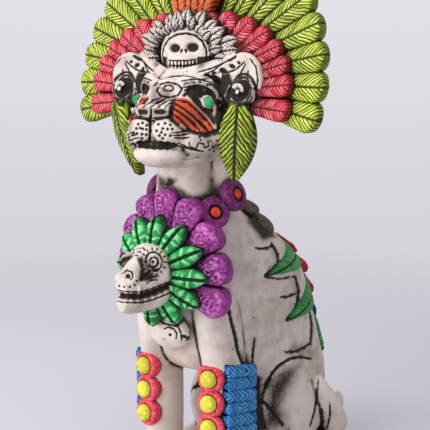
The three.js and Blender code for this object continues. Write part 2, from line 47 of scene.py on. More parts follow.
# The photograph's own viewpoint, from which lines on the clay are read.
CAMERA_TURN, CAMERA_RISE, CAMERA_AWAY = math.radians(37.0), math.radians(8.45), 753.0
CAMERA_TARGET = np.array([0.0, -19.0, 181.7])
CAMERA_LENS = 92.7
FRAME_WIDTH, SENSOR_WIDTH = 430, 36
TO_CAMERA = np.array([
    math.sin(CAMERA_TURN) * math.cos(CAMERA_RISE),
    -math.cos(CAMERA_TURN) * math.cos(CAMERA_RISE),
    math.sin(CAMERA_RISE),
])
CAMERA = CAMERA_TARGET + TO_CAMERA * CAMERA_AWAY

TORSO = [
    # height, middle along Y, half length, half width
    (4, 40, 40, 36),
    (40, 45, 50, 38),
    (62, 43, 53, 38),
    (74, 32, 61, 38),
    (86, 17, 74, 38),
    (112, 6, 74, 38),
    (140, -3, 69, 37),
    (165, -19, 54, 34),
    (185, -38, 34, 27),
    (198, -45, 25, 22),
    (212, -49, 20, 19.5),
    (236, -51, 20, 20),
]
FORELEG = [
    # height, distance from the middle, place along Y, half width, half length
    (142, 21, -50, 8, 12),
    (128, 23.5, -50, 12, 18),
    (105, 25.5, -47, 12.5, 18),
    (84, 26.5, -44, 12.5, 16.5),
    (55, 26, -43, 12, 15.5),
    (28, 25.5, -44, 12, 15.5),
    (5, 25.5, -46, 13.5, 17),
]
TAIL = [
    # the tail's line and its thickness: X, Y, Z, radius
    (4, 86, 17, 11),
    (30, 84, 17, 10.5),
    (45, 68, 22, 9.5),
    (48, 56, 38, 8),
    (47, 46, 52, 6),
    (46, 42, 62, 3),
]
NAPE = [
    # height, half width, half length of the clay behind the head
    (196, 22, 15),
    (210, 28, 14),
    (225, 35, 13),
    (243, 41, 12),
    (262, 42, 12),
]
TOES = 4
BASE_SIZE = (92, 184, 9)
BASE_MIDDLE = 8
BASE_CORNER = 20


def unit(vectors):
    vectors = np.asarray(vectors, float)
    return vectors / np.linalg.norm(vectors, axis=-1, keepdims=True)


def on_photo(points):
    """Where points in millimetres fall on the photograph, in its pixels."""
    across = unit(np.cross(-TO_CAMERA, [0, 0, 1]))
    up = np.cross(across, -TO_CAMERA)
    away = points - CAMERA
    focus = FRAME_WIDTH * CAMERA_LENS / SENSOR_WIDTH / (away @ -TO_CAMERA)
    half = FRAME_WIDTH / 2
    return np.stack([half + (away @ across) * focus, half - (away @ up) * focus], -1)


def smooth_rows(table, count):
    """A short table of sizes, drawn through by a smooth curve and read off at count places."""
    rows = np.array(table, float)
    place = np.linspace(0, len(rows) - 1, count)
    i = np.minimum(place.astype(int), len(rows) - 2)
    f = (place - i)[:, None]
    ends = np.vstack([2 * rows[0] - rows[1], rows, 2 * rows[-1] - rows[-2]])
    a, b, c, d = ends[i], ends[i + 1], ends[i + 2], ends[i + 3]
    curve = (2 * a - 5 * b + 4 * c - d) * f**2 + (3 * b - a - 3 * c + d) * f**3
    return 0.5 * (2 * b + (c - a) * f + curve)


def oval(sides, power=2.0):
    """Points round an oval of half size 1, squarer as the power grows."""
    turn = (np.arange(sides) + 0.5) / sides * 2 * np.pi
    x, y = np.cos(turn), np.sin(turn)
    return np.sign(x) * np.abs(x) ** (2 / power), np.sign(y) * np.abs(y) ** (2 / power)


def skin(rings):
    """A closed skin over rings of points, with its faces pointing out."""
    rings = np.asarray(rings, float)
    n, m = rings.shape[:2]
    points = np.vstack([rings.reshape(-1, 3), rings[0].mean(0), rings[-1].mean(0)])
    a = np.arange((n - 1) * m).reshape(n - 1, m)
    b = np.roll(a, -1, axis=1)
    quads = np.stack([a, b, b + m, a + m], -1).reshape(-1, 4)
    first = np.arange(m)
    last = first + (n - 1) * m
    start = np.stack([np.roll(first, -1), first, np.full(m, n * m)], -1)
    end = np.stack([last, np.roll(last, -1), np.full(m, n * m + 1)], -1)
    faces = quads.tolist() + start.tolist() + end.tolist()
    p, q, r = points[quads[:, 0]], points[quads[:, 1]], points[quads[:, 2]]
    middle = points.mean(0)
    if np.einsum("ij,ij->i", p - middle, np.cross(q - middle, r - middle)).sum() < 0:
        faces = [face[::-1] for face in faces]
    return points, faces


def turned(points, turn):
    """Points turned by degrees about X, then Y, then Z."""
    for axis, degrees in enumerate(turn):
        c, s = math.cos(math.radians(degrees)), math.sin(math.radians(degrees))
        i, j = [(1, 2), (2, 0), (0, 1)][axis]
        points = points.copy()
        points[:, i], points[:, j] = points[:, i] * c - points[:, j] * s, points[:, i] * s + points[:, j] * c
    return points


def egg(place, sizes, turn=(0, 0, 0), rings=24, sides=32):
    """An egg shape with three half sizes."""
    rise = np.linspace(-0.497, 0.497, rings) * np.pi
    x, y = oval(sides)
    levels = [np.stack([x * math.cos(t), y * math.cos(t), np.full(sides, math.sin(t))], -1) for t in rise]
    points, faces = skin(levels)
    return turned(points * np.array(sizes), turn) + np.array(place), faces


def tube(line, sides=28):
    """A round tube along rows of X, Y, Z and radius."""
    line = np.asarray(line, float)
    along = np.gradient(line[:, :3], axis=0)
    along /= np.linalg.norm(along, axis=1)[:, None]
    side = np.cross(along, [0.31, 0.17, 0.93])
    side /= np.linalg.norm(side, axis=1)[:, None]
    up = np.cross(side, along)
    x, y = oval(sides)
    rings = [p[:3] + p[3] * (x[:, None] * s + y[:, None] * u) for p, s, u in zip(line, side, up)]
    return skin(rings)


def gathered(parts):
    """The points and faces of several parts as one list of each."""
    faces = []
    start = 0
    for part in parts:
        faces += [[i + start for i in face] for face in part[1]]
        start += len(part[0])
    return np.vstack([part[0] for part in parts]), faces


class Clay:
    """A mass of clay: parts pressed together into one skin, which lines and dots are then cut in."""

    def __init__(self, parts, grain, smoothing=3):
        points, faces = gathered(parts)
        rough = bpy.data.meshes.new("rough")
        rough.from_pydata(points * MM, [], faces)
        lump = bpy.data.objects.new("rough", rough)
        bpy.context.scene.collection.objects.link(lump)
        join = lump.modifiers.new("join", "REMESH")
        join.mode = "VOXEL"
        join.voxel_size = grain * MM
        rub = lump.modifiers.new("rub", "SMOOTH")
        rub.factor = 0.5
        rub.iterations = smoothing
        joined = lump.evaluated_get(bpy.context.evaluated_depsgraph_get()).to_mesh()
        self.points = np.zeros(len(joined.vertices) * 3)
        joined.vertices.foreach_get("co", self.points)
        self.points = self.points.reshape(-1, 3) / MM
        sizes = np.zeros(len(joined.polygons), int)
        joined.polygons.foreach_get("loop_total", sizes)
        corners = np.zeros(len(joined.loops), int)
        joined.loops.foreach_get("vertex_index", corners)
        self.faces = [list(face) for face in np.split(corners, np.cumsum(sizes)[:-1])]
        self.edges = np.zeros(len(joined.edges) * 2, int)
        joined.edges.foreach_get("vertices", self.edges)
        self.edges = self.edges.reshape(-1, 2)
        self.normals = np.zeros(len(joined.vertices) * 3)
        joined.vertex_normals.foreach_get("vector", self.normals)
        self.normals = self.normals.reshape(-1, 3)
        lump.to_mesh_clear()
        bpy.data.objects.remove(lump)
        self.wash_and_shade = np.zeros(len(self.points))
        self.worn = np.zeros(len(self.points))
        self.push = np.zeros(len(self.points))

    def sight(self, view, both):
        """Where each point lies in a view, and which points face it. With both, the right half of
        the figure is folded over the left, so that one line is cut on the two sides."""
        fold = np.where(self.points[:, :1] < 0, -1, 1) if both else 1
        points = self.points.copy()
        normals = self.normals.copy()
        points[:, :1] *= fold
        normals[:, :1] *= fold
        if view is None:
            return on_photo(points), (normals * unit(CAMERA - points)).sum(1) > 0.12
        view = unit(np.array(view, float))
        across = unit(np.cross(-view, [0, 0, 1.0] if abs(view[2]) < 0.9 else [0, 1.0, 0]))
        return np.stack([points @ across, points @ np.cross(across, -view)], -1), normals @ view > 0.15

    def cut(self, path, width, depth, view=None, wash_and_shade=1.0, both=True):
        """A line scratched along a path, in the photograph's frame or in a flat view."""
        path = np.asarray(path, float)
        place, seen = self.sight(view, both)
        low, high = path.min(0) - width * 2, path.max(0) + width * 2
        ids = np.nonzero(seen & (place >= low).all(1) & (place <= high).all(1))[0]
        spots = place[ids]
        best = np.full(len(ids), 1e9)
        reached = np.zeros(len(ids))
        lengths = np.linalg.norm(np.diff(path, axis=0), axis=1)
        starts = np.cumsum(lengths) - lengths
        for a, b, length, start in zip(path[:-1], path[1:], lengths, starts):
            run = b - a
            share = np.clip((spots - a) @ run / max(run @ run, 1e-9), 0, 1)
            away = np.linalg.norm(spots - a - share[:, None] * run, axis=1)
            reached = np.where(away < best, start + share * length, reached)
            best = np.minimum(best, away)
        closed = np.allclose(path[0], path[-1])
        share = reached / lengths.sum()
        press = 1 if closed else 0.55 + 0.45 * np.sin(np.pi * np.clip(share, 0, 1)) ** 0.5
        slow_wobble = 0.16 * np.sin(reached * 0.9 + path[0, 0])
        quick_wobble = 0.10 * np.sin(reached * 2.3 + path[0, 1])
        press = press * (1 + slow_wobble + quick_wobble)
        best = best / press
        self.push[ids] -= depth * np.exp(-((best / (width * 0.5)) ** 2))
        self.wash_and_shade[ids] = np.maximum(self.wash_and_shade[ids], wash_and_shade * np.exp(-((best / (width * 0.62)) ** 2)))

    def dot(self, middle, radius, depth, both=True, flat=1.0):
        """A round hole pressed with a stick."""
        place, seen = self.sight(None, both)
        away = np.linalg.norm((place - np.array(middle)) / np.array([1, flat]), axis=1)
        inside = np.where(seen, 1 / (1 + np.exp(np.clip((away - radius) / (radius * 0.16), -30, 30))), 0)
        self.push -= depth * inside
        self.wash_and_shade = np.maximum(self.wash_and_shade, inside)

    def swell(self, middle, sizes, height, view=None, both=True, power=2.0, wash_and_shade=0.0):
        """A low rise or, below 0, a hollow, with an oval edge."""
        place, seen = self.sight(view, both)
        away = (np.abs((place - np.array(middle)) / np.array(sizes)) ** power).sum(1)
        inside = np.where(seen, np.clip(1 - away, 0, 1) ** 0.8, 0)
        self.push += height * inside
        self.wash_and_shade = np.maximum(self.wash_and_shade, wash_and_shade * inside)

    def cloud_of_wash_and_shade(self, outline, amount, both=True, soft=8):
        """A cloud of darkening within an outline drawn on the photograph's frame, used both for wash left on
        the clay and for painted shade.
        """
        self.wash_and_shade = np.maximum(self.wash_and_shade, amount * self.inside(outline, both, soft))

    def inside(self, outline, both=True, soft=0.7):
        """Which points fall within an outline drawn on the photograph's frame, with a soft edge."""
        place, seen = self.sight(None, both)
        outline = np.array(outline, float)
        within = np.zeros(len(place), bool)
        best = np.full(len(place), 1e9)
        for a, b in zip(outline, np.roll(outline, -1, axis=0)):
            run = b - a
            crosses = (a[1] > place[:, 1]) != (b[1] > place[:, 1])
            reach = a[0] + run[0] * (place[:, 1] - a[1]) / (run[1] if run[1] else 1e-9)
            within ^= crosses & (place[:, 0] < reach)
            share = np.clip((place - a) @ run / (run @ run), 0, 1)
            best = np.minimum(best, np.linalg.norm(place - a - share[:, None] * run, axis=1))
        return np.where(seen, np.clip(0.5 + np.where(within, best, -best) / soft, 0, 1), 0)

    def part(self, *labels):
        """The finished skin, with the values that its finish reads."""
        return self.points, self.faces, {label: getattr(self, label) for label in ("wash_and_shade", "worn", *labels)}

    def settle(self, crease_gain=1.0, broad=10):
        """Moves the skin by its cuts, then reads creases and ridges off the new shape."""
        self.points = self.points + self.normals * self.push[:, None]
        self.points[:, 2] = np.maximum(self.points[:, 2], 0)
        a, b = self.edges[:, 0], self.edges[:, 1]
        count = np.bincount(self.edges.ravel(), minlength=len(self.points))[:, None]

        def around(values):
            total = np.zeros_like(values)
            for k in range(values.shape[1]):
                total[:, k] = np.bincount(a, values[b, k], len(values))
                total[:, k] += np.bincount(b, values[a, k], len(values))
            return total / np.maximum(count, 1)

        soft = self.points
        for _ in range(broad):
            soft = 0.5 * soft + 0.5 * around(soft)
        hollow = np.einsum("ij,ij->i", soft - self.points, self.normals)[:, None]
        for _ in range(2):
            hollow = 0.5 * hollow + 0.5 * around(hollow)
        hollow = hollow[:, 0] * crease_gain
        self.wash_and_shade = np.maximum(self.wash_and_shade, np.clip((hollow - 0.10) * 2.6, 0, 1))
        self.worn = np.clip((-hollow - 0.08) * 3.0, 0, 1)


def make_piece(name, parts, material):
    """One piece of the figure from parts, each of points in millimetres, faces and named values."""
    points, faces = gathered(parts)
    mesh = bpy.data.meshes.new(name)
    mesh.from_pydata(points * MM, [], faces)
    mesh.shade_smooth()
    for label in parts[0][2]:
        values = np.concatenate([part[2][label] for part in parts])
        mesh.attributes.new(label, "FLOAT", "POINT").data.foreach_set("value", values)
    piece = bpy.data.objects.new(name, mesh)
    bpy.context.scene.collection.objects.link(piece)
    mesh.materials.append(material)
    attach(piece, "root")
    return piece


class Wire:
    """A shader socket that adds up, so that shader maths reads as sums."""

    def __init__(self, nodes, socket):
        self.nodes = nodes
        self.socket = socket

    def math(self, operation, a, b=None, clamp=False):
        values = [a] if b is None else [a, b]
        return self.nodes.add("ShaderNodeMath", {"operation": operation, "use_clamp": clamp}, values)

    def __add__(self, other):
        return self.math("ADD", self, other)

    def __radd__(self, other):
        return self.math("ADD", other, self)

    def __sub__(self, other):
        return self.math("SUBTRACT", self, other)

    def __rsub__(self, other):
        return self.math("SUBTRACT", other, self)

    def __mul__(self, other):
        return self.math("MULTIPLY", self, other)

    def __rmul__(self, other):
        return self.math("MULTIPLY", other, self)

    def __truediv__(self, other):
        return self.math("DIVIDE", self, other)

    def size(self):
        """Its distance from 0."""
        return self.math("ABSOLUTE", self)

    def held(self):
        """Kept between 0 and 1."""
        return self.math("ADD", self, 0.0, clamp=True)

    def most(self, other):
        return self.math("MAXIMUM", self, other)

    def steep(self, low, high):
        """0 below low, 1 above high and smooth between."""
        settings = {"interpolation_type": "SMOOTHSTEP"}
        sockets = {"Value": self, "From Min": low, "From Max": high}
        return self.nodes.add("ShaderNodeMapRange", settings, sockets)


class Finish:
    """The nodes of one painted or bare clay finish."""

    def __init__(self, name):
        self.material = bpy.data.materials.new(name)
        self.material.use_nodes = True
        self.tree = self.material.node_tree
        self.shader = self.tree.nodes["Principled BSDF"]
        self.place = self.add("ShaderNodeTexCoord", {}, {}, out="Object")

    def add(self, kind, settings, values, out=0):
        """A node of a kind, with its settings, then the values or links of its sockets."""
        node = self.tree.nodes.new(kind)
        for key, value in settings.items():
            setattr(node, key, value)
        pairs = values.items() if isinstance(values, dict) else enumerate(values)
        for key, value in pairs:
            if isinstance(value, Wire):
                self.tree.links.new(value.socket, node.inputs[key])
            else:
                node.inputs[key].default_value = value
        return Wire(self, node.outputs[out])

    def attribute(self, label):
        return self.add("ShaderNodeAttribute", {"attribute_name": label}, {}, out="Fac")

    def noise(self, per_mm, detail=3.0, roughness=0.55):
        return self.add("ShaderNodeTexNoise", {}, {
            "Vector": self.place, "Scale": per_mm / MM, "Detail": detail, "Roughness": roughness,
        })

    def mix(self, share, low, high):
        """A colour between two colours."""
        def paint(colour):
            return colour if isinstance(colour, Wire) else (*colour, 1.0)
        return self.add("ShaderNodeMix", {"data_type": "RGBA", "clamp_factor": True}, {
            0: share, 6: paint(low), 7: paint(high),
        }, out=2)

    def set(self, socket, value):
        target = self.shader.inputs[socket]
        if isinstance(value, Wire):
            self.tree.links.new(value.socket, target)
        else:
            target.default_value = value

    def bump(self, height, strength, distance_mm):
        return self.add("ShaderNodeBump", {}, {
            "Height": height, "Strength": strength, "Distance": distance_mm * MM,
        })


def linear(*screen):
    """A colour as seen on a screen, 0 to 255, as the shader's linear light."""
    share = [value / 255 for value in screen]
    return tuple(v / 12.92 if v <= 0.04045 else ((v + 0.055) / 1.055) ** 2.4 for v in share)


CLAY_PALE = linear(220, 208, 199)
CLAY_SHADE = linear(182, 165, 152)
WASH_AND_SHADE_BROWN = linear(82, 58, 42)
WASH_AND_SHADE_BLACK = linear(22, 16, 13)
CLAY_WORN = linear(238, 230, 222)
PITS_PER_MM = 0.12
SHINE = 0.35


def bare_clay(name, pale, shade, paints=(), glazes=()):
    """Pale bisque clay with the dark wash in its cuts, painted shade where the wash value also carries it,
    small pits that caught the wash, paint that went on before the wash, and glossy touches that went on
    after it."""
    f = Finish(name)
    wash_and_shade = f.attribute("wash_and_shade")
    worn = f.attribute("worn")
    broad = f.noise(0.022, 3)
    patch = f.noise(0.11, 4)
    grain = f.noise(0.9, 3, 0.6)
    fine = f.noise(2.6, 2, 0.6)
    near = f.add("ShaderNodeAmbientOcclusion", {"samples": 8}, {"Distance": 12 * MM}, out="AO")
    crease = (1 - near).steep(0.22, 0.8)
    ground = f.mix((broad * 0.6 + patch * 0.4).steep(0.40, 0.68), pale, shade)
    ground = f.mix(worn * 0.35, ground, CLAY_WORN)
    for label, deep, main in paints:
        paint = f.mix((grain * 0.6 + patch * 0.4).steep(0.35, 0.62), deep, main)
        ground = f.mix(f.attribute(label), ground, paint)
    # this darkening is the wash together with painted shade, since the wash value carries both
    dirt_and_shade = (wash_and_shade * 1.2 + crease * 0.8 + (patch - 0.5) * 0.9 * (wash_and_shade + crease)).steep(0.18, 0.85)
    tone = f.mix(dirt_and_shade * 0.88, ground, WASH_AND_SHADE_BROWN)
    black = (wash_and_shade * 1.3 + (grain - 0.5) * 1.1 + crease * 0.4).steep(0.62, 0.95)
    tone = f.mix(black * 0.94, tone, WASH_AND_SHADE_BLACK)
    for label, deep, main in glazes:
        glaze = f.mix(patch.steep(0.35, 0.62), deep, main)
        tone = f.mix(f.attribute(label) * (1 - wash_and_shade * 0.8), tone, glaze)
    drops = f.add("ShaderNodeTexVoronoi", {"feature": "F1"}, {
        "Vector": f.place, "Scale": PITS_PER_MM / MM,
    }, out="Distance")
    size = (patch - 0.42) * 0.34 + wash_and_shade * 0.05
    specks = (size - drops * 0.55).steep(-0.02, 0.02) * (grain.steep(0.42, 0.6))
    tone = f.mix(specks * 0.85, tone, WASH_AND_SHADE_BLACK)
    f.set("Base Color", tone)
    f.set("Roughness", (0.62 + grain * 0.2 + dirt_and_shade * 0.1).held())
    f.set("Specular IOR Level", SHINE)
    relief = broad * 0.5 + patch * 0.3 + grain * 0.25 + fine * 0.12 - specks * 0.7 - black * 0.3
    f.set("Normal", f.bump(relief, 0.55, 0.6))
    return f.material


def levels(table, sides, power, count):
    """Level rings from a table: height, middle along Y, half length, half width."""
    x, y = oval(sides, power)
    rings = []
    for z, middle, long, wide in smooth_rows(table, count):
        rings.append(np.stack([x * wide, middle + y * long, np.full(sides, z)], -1))
    return skin(rings)


def foreleg(side):
    x, y = oval(40)
    rings = []
    for z, out, middle, wide, long in smooth_rows(FORELEG, 50):
        rings.append(np.stack([side * out + x * wide, middle + y * long, np.full(40, z)], -1))
    return skin(rings)


def paw(side, place, sizes):
    """A rounded foot with toes pressed on its front."""
    parts = [egg((side * place[0], place[1], 6), (sizes[0], sizes[1], sizes[2]))]
    for i in range(TOES):
        across = (i - (TOES - 1) / 2) * sizes[0] * 0.5
        front = place[1] - sizes[1] * (0.82 - 0.10 * abs(across) / sizes[0])
        parts.append(egg((side * place[0] + across, front, 8), (sizes[0] * 0.27, 8, sizes[2] * 0.5)))
    return parts


def base_slab():
    """The low base: a slab with round corners and a soft edge."""
    half_x, half_y, high = BASE_SIZE[0] / 2, BASE_SIZE[1] / 2, BASE_SIZE[2]
    corners = [(1, 1, 0), (-1, 1, 90), (-1, -1, 180), (1, -1, 270)]
    rings = []
    for inset, z in ((1.2, 0.0), (0.2, 0.9), (0, 2.5), (0, high - 2.5), (0.5, high - 0.9), (1.8, high)):
        round_off = BASE_CORNER - inset
        ring = []
        for sx, sy, start in corners:
            for turn in np.radians(np.linspace(start, start + 90, 12)):
                x = sx * (half_x - BASE_CORNER) + round_off * math.cos(turn)
                y = sy * (half_y - BASE_CORNER) + round_off * math.sin(turn)
                ring.append((x, y + BASE_MIDDLE, z))
        rings.append(ring)
    return skin(rings)


def nape():
    x, y = oval(40, 2.6)
    rings = []
    for i, (z, wide, long) in enumerate(smooth_rows(NAPE, 24)):
        rings.append(np.stack([x * wide, -36 - i / 12 + y * long, np.full(40, z)], -1))
    return skin(rings)


body_parts = [
    levels(TORSO, 72, 2.1, 70),
    nape(),
    tube(smooth_rows(TAIL, 40)),
    egg((-39, 80, 34), (3.5, 6, 9)),
    egg((42, 77, 33), (4, 6, 9)),
]
for side in (LEFT, RIGHT):
    body_parts.append(foreleg(side))
    body_parts.append(egg((side * 28, 34, 40), (18, 40, 34), (-8, 0, 0)))
    body_parts += paw(side, (25.5, -58), (14.5, 22, 18))
    body_parts += paw(side, (34, 12), (12.5, 36, 17))
body = Clay(body_parts, 1.35, 3)

BODY_LINES = [
    # the back edge of the foreleg, the flank and the folds of the ribs
    ([(228, 306), (232, 322), (236, 337), (238, 350), (242, 361), (247, 370)], 3.6, 1.5),
    ([(255, 338), (253, 352), (252, 370)], 2.4, 0.8),
    ([(256, 248), (262, 249), (268, 248), (274, 245)], 2.6, 1.0),
    ([(272, 243), (278, 254), (279, 263), (273, 270), (265, 276)], 3.0, 1.3),
    ([(265, 277), (280, 279), (296, 276)], 2.0, 0.9),
    ([(296, 277), (299, 290), (298, 303), (294, 313), (287, 320)], 3.2, 1.3),
    ([(280, 297), (287, 297), (296, 293)], 2.6, 1.0),
    ([(287, 320), (300, 315), (310, 311)], 1.8, 0.8),
    ([(310, 311), (312, 325), (311, 345)], 2.6, 1.0),
    ([(285, 352), (295, 352), (304, 348), (310, 343)], 2.6, 1.0),
    # the haunch and the hollow below it
    ([(261, 404), (263, 392), (267, 383), (272, 374), (279, 366),
      (290, 359), (300, 357), (312, 359)], 3.0, 1.2),
    ([(257, 398), (266, 404), (273, 413), (284, 426)], 3.6, 1.4),
]
for path, width, depth in BODY_LINES:
    body.cut(path, width, depth)
FAINT_RIBS = [
    ([(258, 300), (270, 301), (280, 297)], 1.6, 0.4),
    ([(257, 324), (270, 325), (284, 320)], 1.6, 0.4),
]
for path, width, depth in FAINT_RIBS:
    body.cut(path, width, depth, wash_and_shade=0.35)
BODY_CLOUDS = [
    # clouds of wash and painted shade: the haunch, the folds of the ribs, behind the foreleg, the neck and
    # the back
    ([(262, 404), (265, 382), (284, 366), (302, 362), (296, 384),
      (284, 404), (292, 432), (258, 432)], 0.72, 26),
    ([(252, 372), (262, 376), (262, 398), (270, 432), (250, 432)], 0.8, 8),
    # painted shade in the folds of the ribs, in this cloud and the next two
    ([(266, 243), (278, 243), (281, 262), (270, 277), (262, 277), (272, 260)], 0.40, 8),
    ([(286, 276), (299, 276), (300, 300), (288, 322), (282, 322), (292, 300)], 0.36, 8),
    ([(290, 343), (312, 335), (316, 360), (300, 360), (280, 358)], 0.40, 10),
    ([(238, 345), (250, 352), (250, 370), (240, 370)], 0.5, 8),
    # painted shade on the back under the shoulder lobes
    ([(240, 200), (262, 208), (277, 238), (262, 242), (248, 224)], 0.75, 10),
]
for outline, amount, soft in BODY_CLOUDS:
    body.cloud_of_wash_and_shade(outline, amount, both=False, soft=soft)
# painted shade on the neck, under the jaw and beside the nape where the head overhangs it
NECK_SHADE_CLOUDS = [
    ([(156, 172), (176, 182), (192, 194), (214, 190), (214, 208), (184, 208), (156, 192)], 0.62),
    ([(208, 165), (216, 165), (216, 200), (206, 198)], 0.5),
    ([(168, 176), (178, 180), (172, 190), (160, 188)], 0.85),
]
for outline, amount in NECK_SHADE_CLOUDS:
    body.cloud_of_wash_and_shade(outline, amount, both=False, soft=9)
TAIL_LINES = [
    # a plain line down each side of the tail
    [(318, 378), (317, 395), (315, 410), (310, 427)],
    [(330, 402), (330, 415), (327, 428)],
]
for path in TAIL_LINES:
    body.cut(path, 2.0, 0.6, both=False)
body.settle()


clay_finish = bare_clay("pale_clay", CLAY_PALE, CLAY_SHADE)
clay_body = make_piece("clay_body", [body.part()], clay_finish)
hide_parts("clay_figure")

# The low base is a slab rolled out of the same clay, with round corners and a soft edge. The
# feet, the haunches and the tail's root rest on it.
slab = Clay([base_slab()], 1.7, 1)
slab.settle()
make_piece("clay_base", [slab.part()], clay_finish)

# The head is modelled over the neck: a broad skull and muzzle with brow bands, a nose, whisker
# pads and a heavy jaw pressed on, and every line cut with a point before the clay dried.
HEAD = [
    # place along Y, height of the middle, half width, half height
    (-26, 250, 17, 20),
    (-33, 250, 28, 28),
    (-45, 249, 34, 31.5),
    (-57, 250, 33, 33),
    (-66, 248, 29, 27),
    (-75, 245, 24, 20),
    (-82, 243, 19, 15),
]
# the middle of an ear spool: its distance from the middle plane and its height
SPOOL = (48.2, 268)


def upright(table, sides, power, count):
    """Rings that stand upright along Y: place, height of the middle, half width, half height."""
    x, z = oval(sides, power)
    rings = [np.stack([x * w, np.full(sides, y), m + z * h], -1) for y, m, w, h in smooth_rows(table, count)]
    return skin(rings)


def band(path, wide, thick, sides=20):
    """A flattened strap of clay laid along a path of X, Y, Z."""
    line = smooth_rows(path, 40)
    along = unit(np.gradient(line, axis=0))
    out = unit(line - np.array([0, -40, 262]))
    out = unit(out - (out * along).sum(1)[:, None] * along)
    side = np.cross(along, out)
    x, y = oval(sides, 2.6)
    rings = [p + wide * x[:, None] * s + thick * y[:, None] * o for p, s, o in zip(line, side, out)]
    return skin(rings)


head_parts = [
    upright(HEAD, 64, 2.2, 50),
    egg((0, -77, 227.5), (19, 13, 8.5)),
    egg((0, -60, 226), (24, 18, 9)),
    egg((0, -83, 254.5), (9, 5.5, 5)),
    egg((0, -72, 262), (7, 14, 6), (-28, 0, 0)),
    egg((0, -66.5, 270), (9, 5, 6), (-30, 0, 0)),
]
for side in (LEFT, RIGHT):
    head_parts += [
        egg((side * 10, -80, 243), (11.5, 9, 9)),
        egg((side * 8.3, -82, 254.5), (5.5, 5, 4.5)),
        egg((side * 22, -65, 238), (11, 14, 12)),
        egg((side * 28, -60.5, 259), (6.5, 6, 6.5)),
        egg((side * 30, -57, 245), (9, 12, 12)),
        band([(side * 9, -69, 270), (side * 17, -66, 274), (side * 26, -60, 271), (side * 32, -53, 262),
              (side * 35, -48, 250)], 4.2, 2.6),
        band([(side * 9, -63, 277), (side * 20, -57, 280), (side * 31, -52, 284), (side * 40, -49, 288)],
             5.0, 2.2),
        egg((side * 45.5, -51, 273), (16, 7, 18.5), (0, side * 12, 0)),
        tube([(side * 46, -48, 266, 10), (side * 47, -53, 267, 11), (side * 47.5, -57.5, 267.8, 11),
              (side * 47.6, -59, 268, 9.2)]),
        egg((side * SPOOL[0], -60.5, SPOOL[1]), (4.6, 3.6, 4.6)),
    ]
head = Clay(head_parts, 0.66, 2)

# The places below are read off the photograph, in its pixels. A line has a path, a width in
# pixels and a depth in millimetres, and is cut on the head's two sides unless both is False.
SOCKET = {"middle": (207, 101), "sizes": (15, 12), "height": -2.2}
UNDER_EYE = {"middle": (193, 117), "sizes": (26, 19), "height": -1.6}
EYEBALL = {"middle": (208, 102), "sizes": (8, 8.5), "height": 3.4}
head.swell(**SOCKET)
head.swell(**UNDER_EYE, wash_and_shade=0.45)
head.swell(**EYEBALL)
HEAD_CLOUDS = [
    # wash with painted shade: in the sockets, under the brows, beside the cheeks, along the jaw and round
    # the nose
    ([(184, 93), (198, 88), (212, 92), (222, 104), (226, 120), (219, 133), (214, 118),
      (217, 106), (208, 94), (200, 98), (202, 108), (196, 104)], 0.9, 4),
    ([(203, 108), (212, 111), (218, 122), (214, 126), (206, 116)], 0.8, 4),
    ([(182, 81), (205, 79), (221, 91), (230, 112), (226, 114), (214, 94), (200, 86), (182, 88)], 0.42, 5),
    ([(172, 97), (178, 97), (172, 119), (190, 131), (212, 134), (222, 128),
      (224, 134), (206, 139), (184, 132), (168, 120)], 0.7, 4),
    # painted shade along the jaw, under the lip
    ([(178, 144), (204, 153), (217, 138), (224, 142), (212, 160), (186, 158)], 0.36, 8),
    ([(196, 60), (212, 61), (204, 68), (196, 72)], 0.6, 8),
    # painted shade with wash, beside and under the ear spools
    ([(212, 80), (226, 72), (230, 88), (229, 108), (221, 108), (222, 96), (214, 88)], 0.95, 5),
    ([(228, 104), (250, 100), (256, 108), (244, 112), (230, 112)], 0.8, 5),
]
for outline, amount, soft in HEAD_CLOUDS:
    head.cloud_of_wash_and_shade(outline, amount, soft=soft)
MUZZLE_CLOUDS = [
    [(134, 106), (150, 106), (172, 108), (172, 118), (150, 120), (132, 118)],
    [(128, 138), (138, 140), (178, 142), (190, 148), (178, 151), (136, 150), (126, 146)],
    [(150, 84), (158, 82), (158, 98), (150, 100)], [(126, 120), (133, 120), (133, 134), (127, 138)],
]
for outline in MUZZLE_CLOUDS:
    head.cloud_of_wash_and_shade(outline, 0.42, both=False, soft=5)
FACE_LINES = [
    # the rims of the socket, the hollow under the eye and the edge of the nose
    ([(184, 95), (190, 89), (198, 87), (206, 89), (213, 95)], 4.0, 1.8),
    ([(213, 96), (220, 104), (225, 114), (224, 124), (218, 131),
      (208, 134), (196, 132), (188, 129)], 4.6, 1.8),
    ([(200, 99), (202, 106), (207, 111), (213, 111)], 2.0, 0.8),
    ([(172, 100), (171, 110), (172, 119), (180, 125)], 3.0, 1.2),
    # the lip, the stepped line on the jaw
    ([(178, 143), (186, 147), (192, 149), (204, 152)], 1.6, 0.8),
    ([(189, 142), (190, 147), (196, 149), (199, 143), (204, 144),
      (205, 148), (209, 146), (208, 141), (212, 141)], 1.5, 0.6),
    # the edges of the brow bands and of the straps that run up to the ears
    ([(182, 88), (190, 86.5), (199, 85.5), (207, 87.5), (214, 93), (221, 102), (227, 113)], 1.4, 0.5),
    ([(181, 81), (190, 79.5), (200, 79), (210, 82), (218, 90), (225, 101), (229, 110)], 1.6, 0.8),
    ([(198, 72), (212, 68), (225, 62), (236, 55)], 1.6, 0.8),
    ([(199, 80), (214, 77), (230, 69), (243, 60)], 1.8, 0.9),
]
for path, width, depth in FACE_LINES:
    head.cut(path, width, depth)
NOSTRILS, NOSTRIL_FLATNESS = [(160, 112), (140, 112.5)], 0.62
for middle in NOSTRILS:
    head.dot(middle, 6.6, 2.6, both=False, flat=NOSTRIL_FLATNESS)
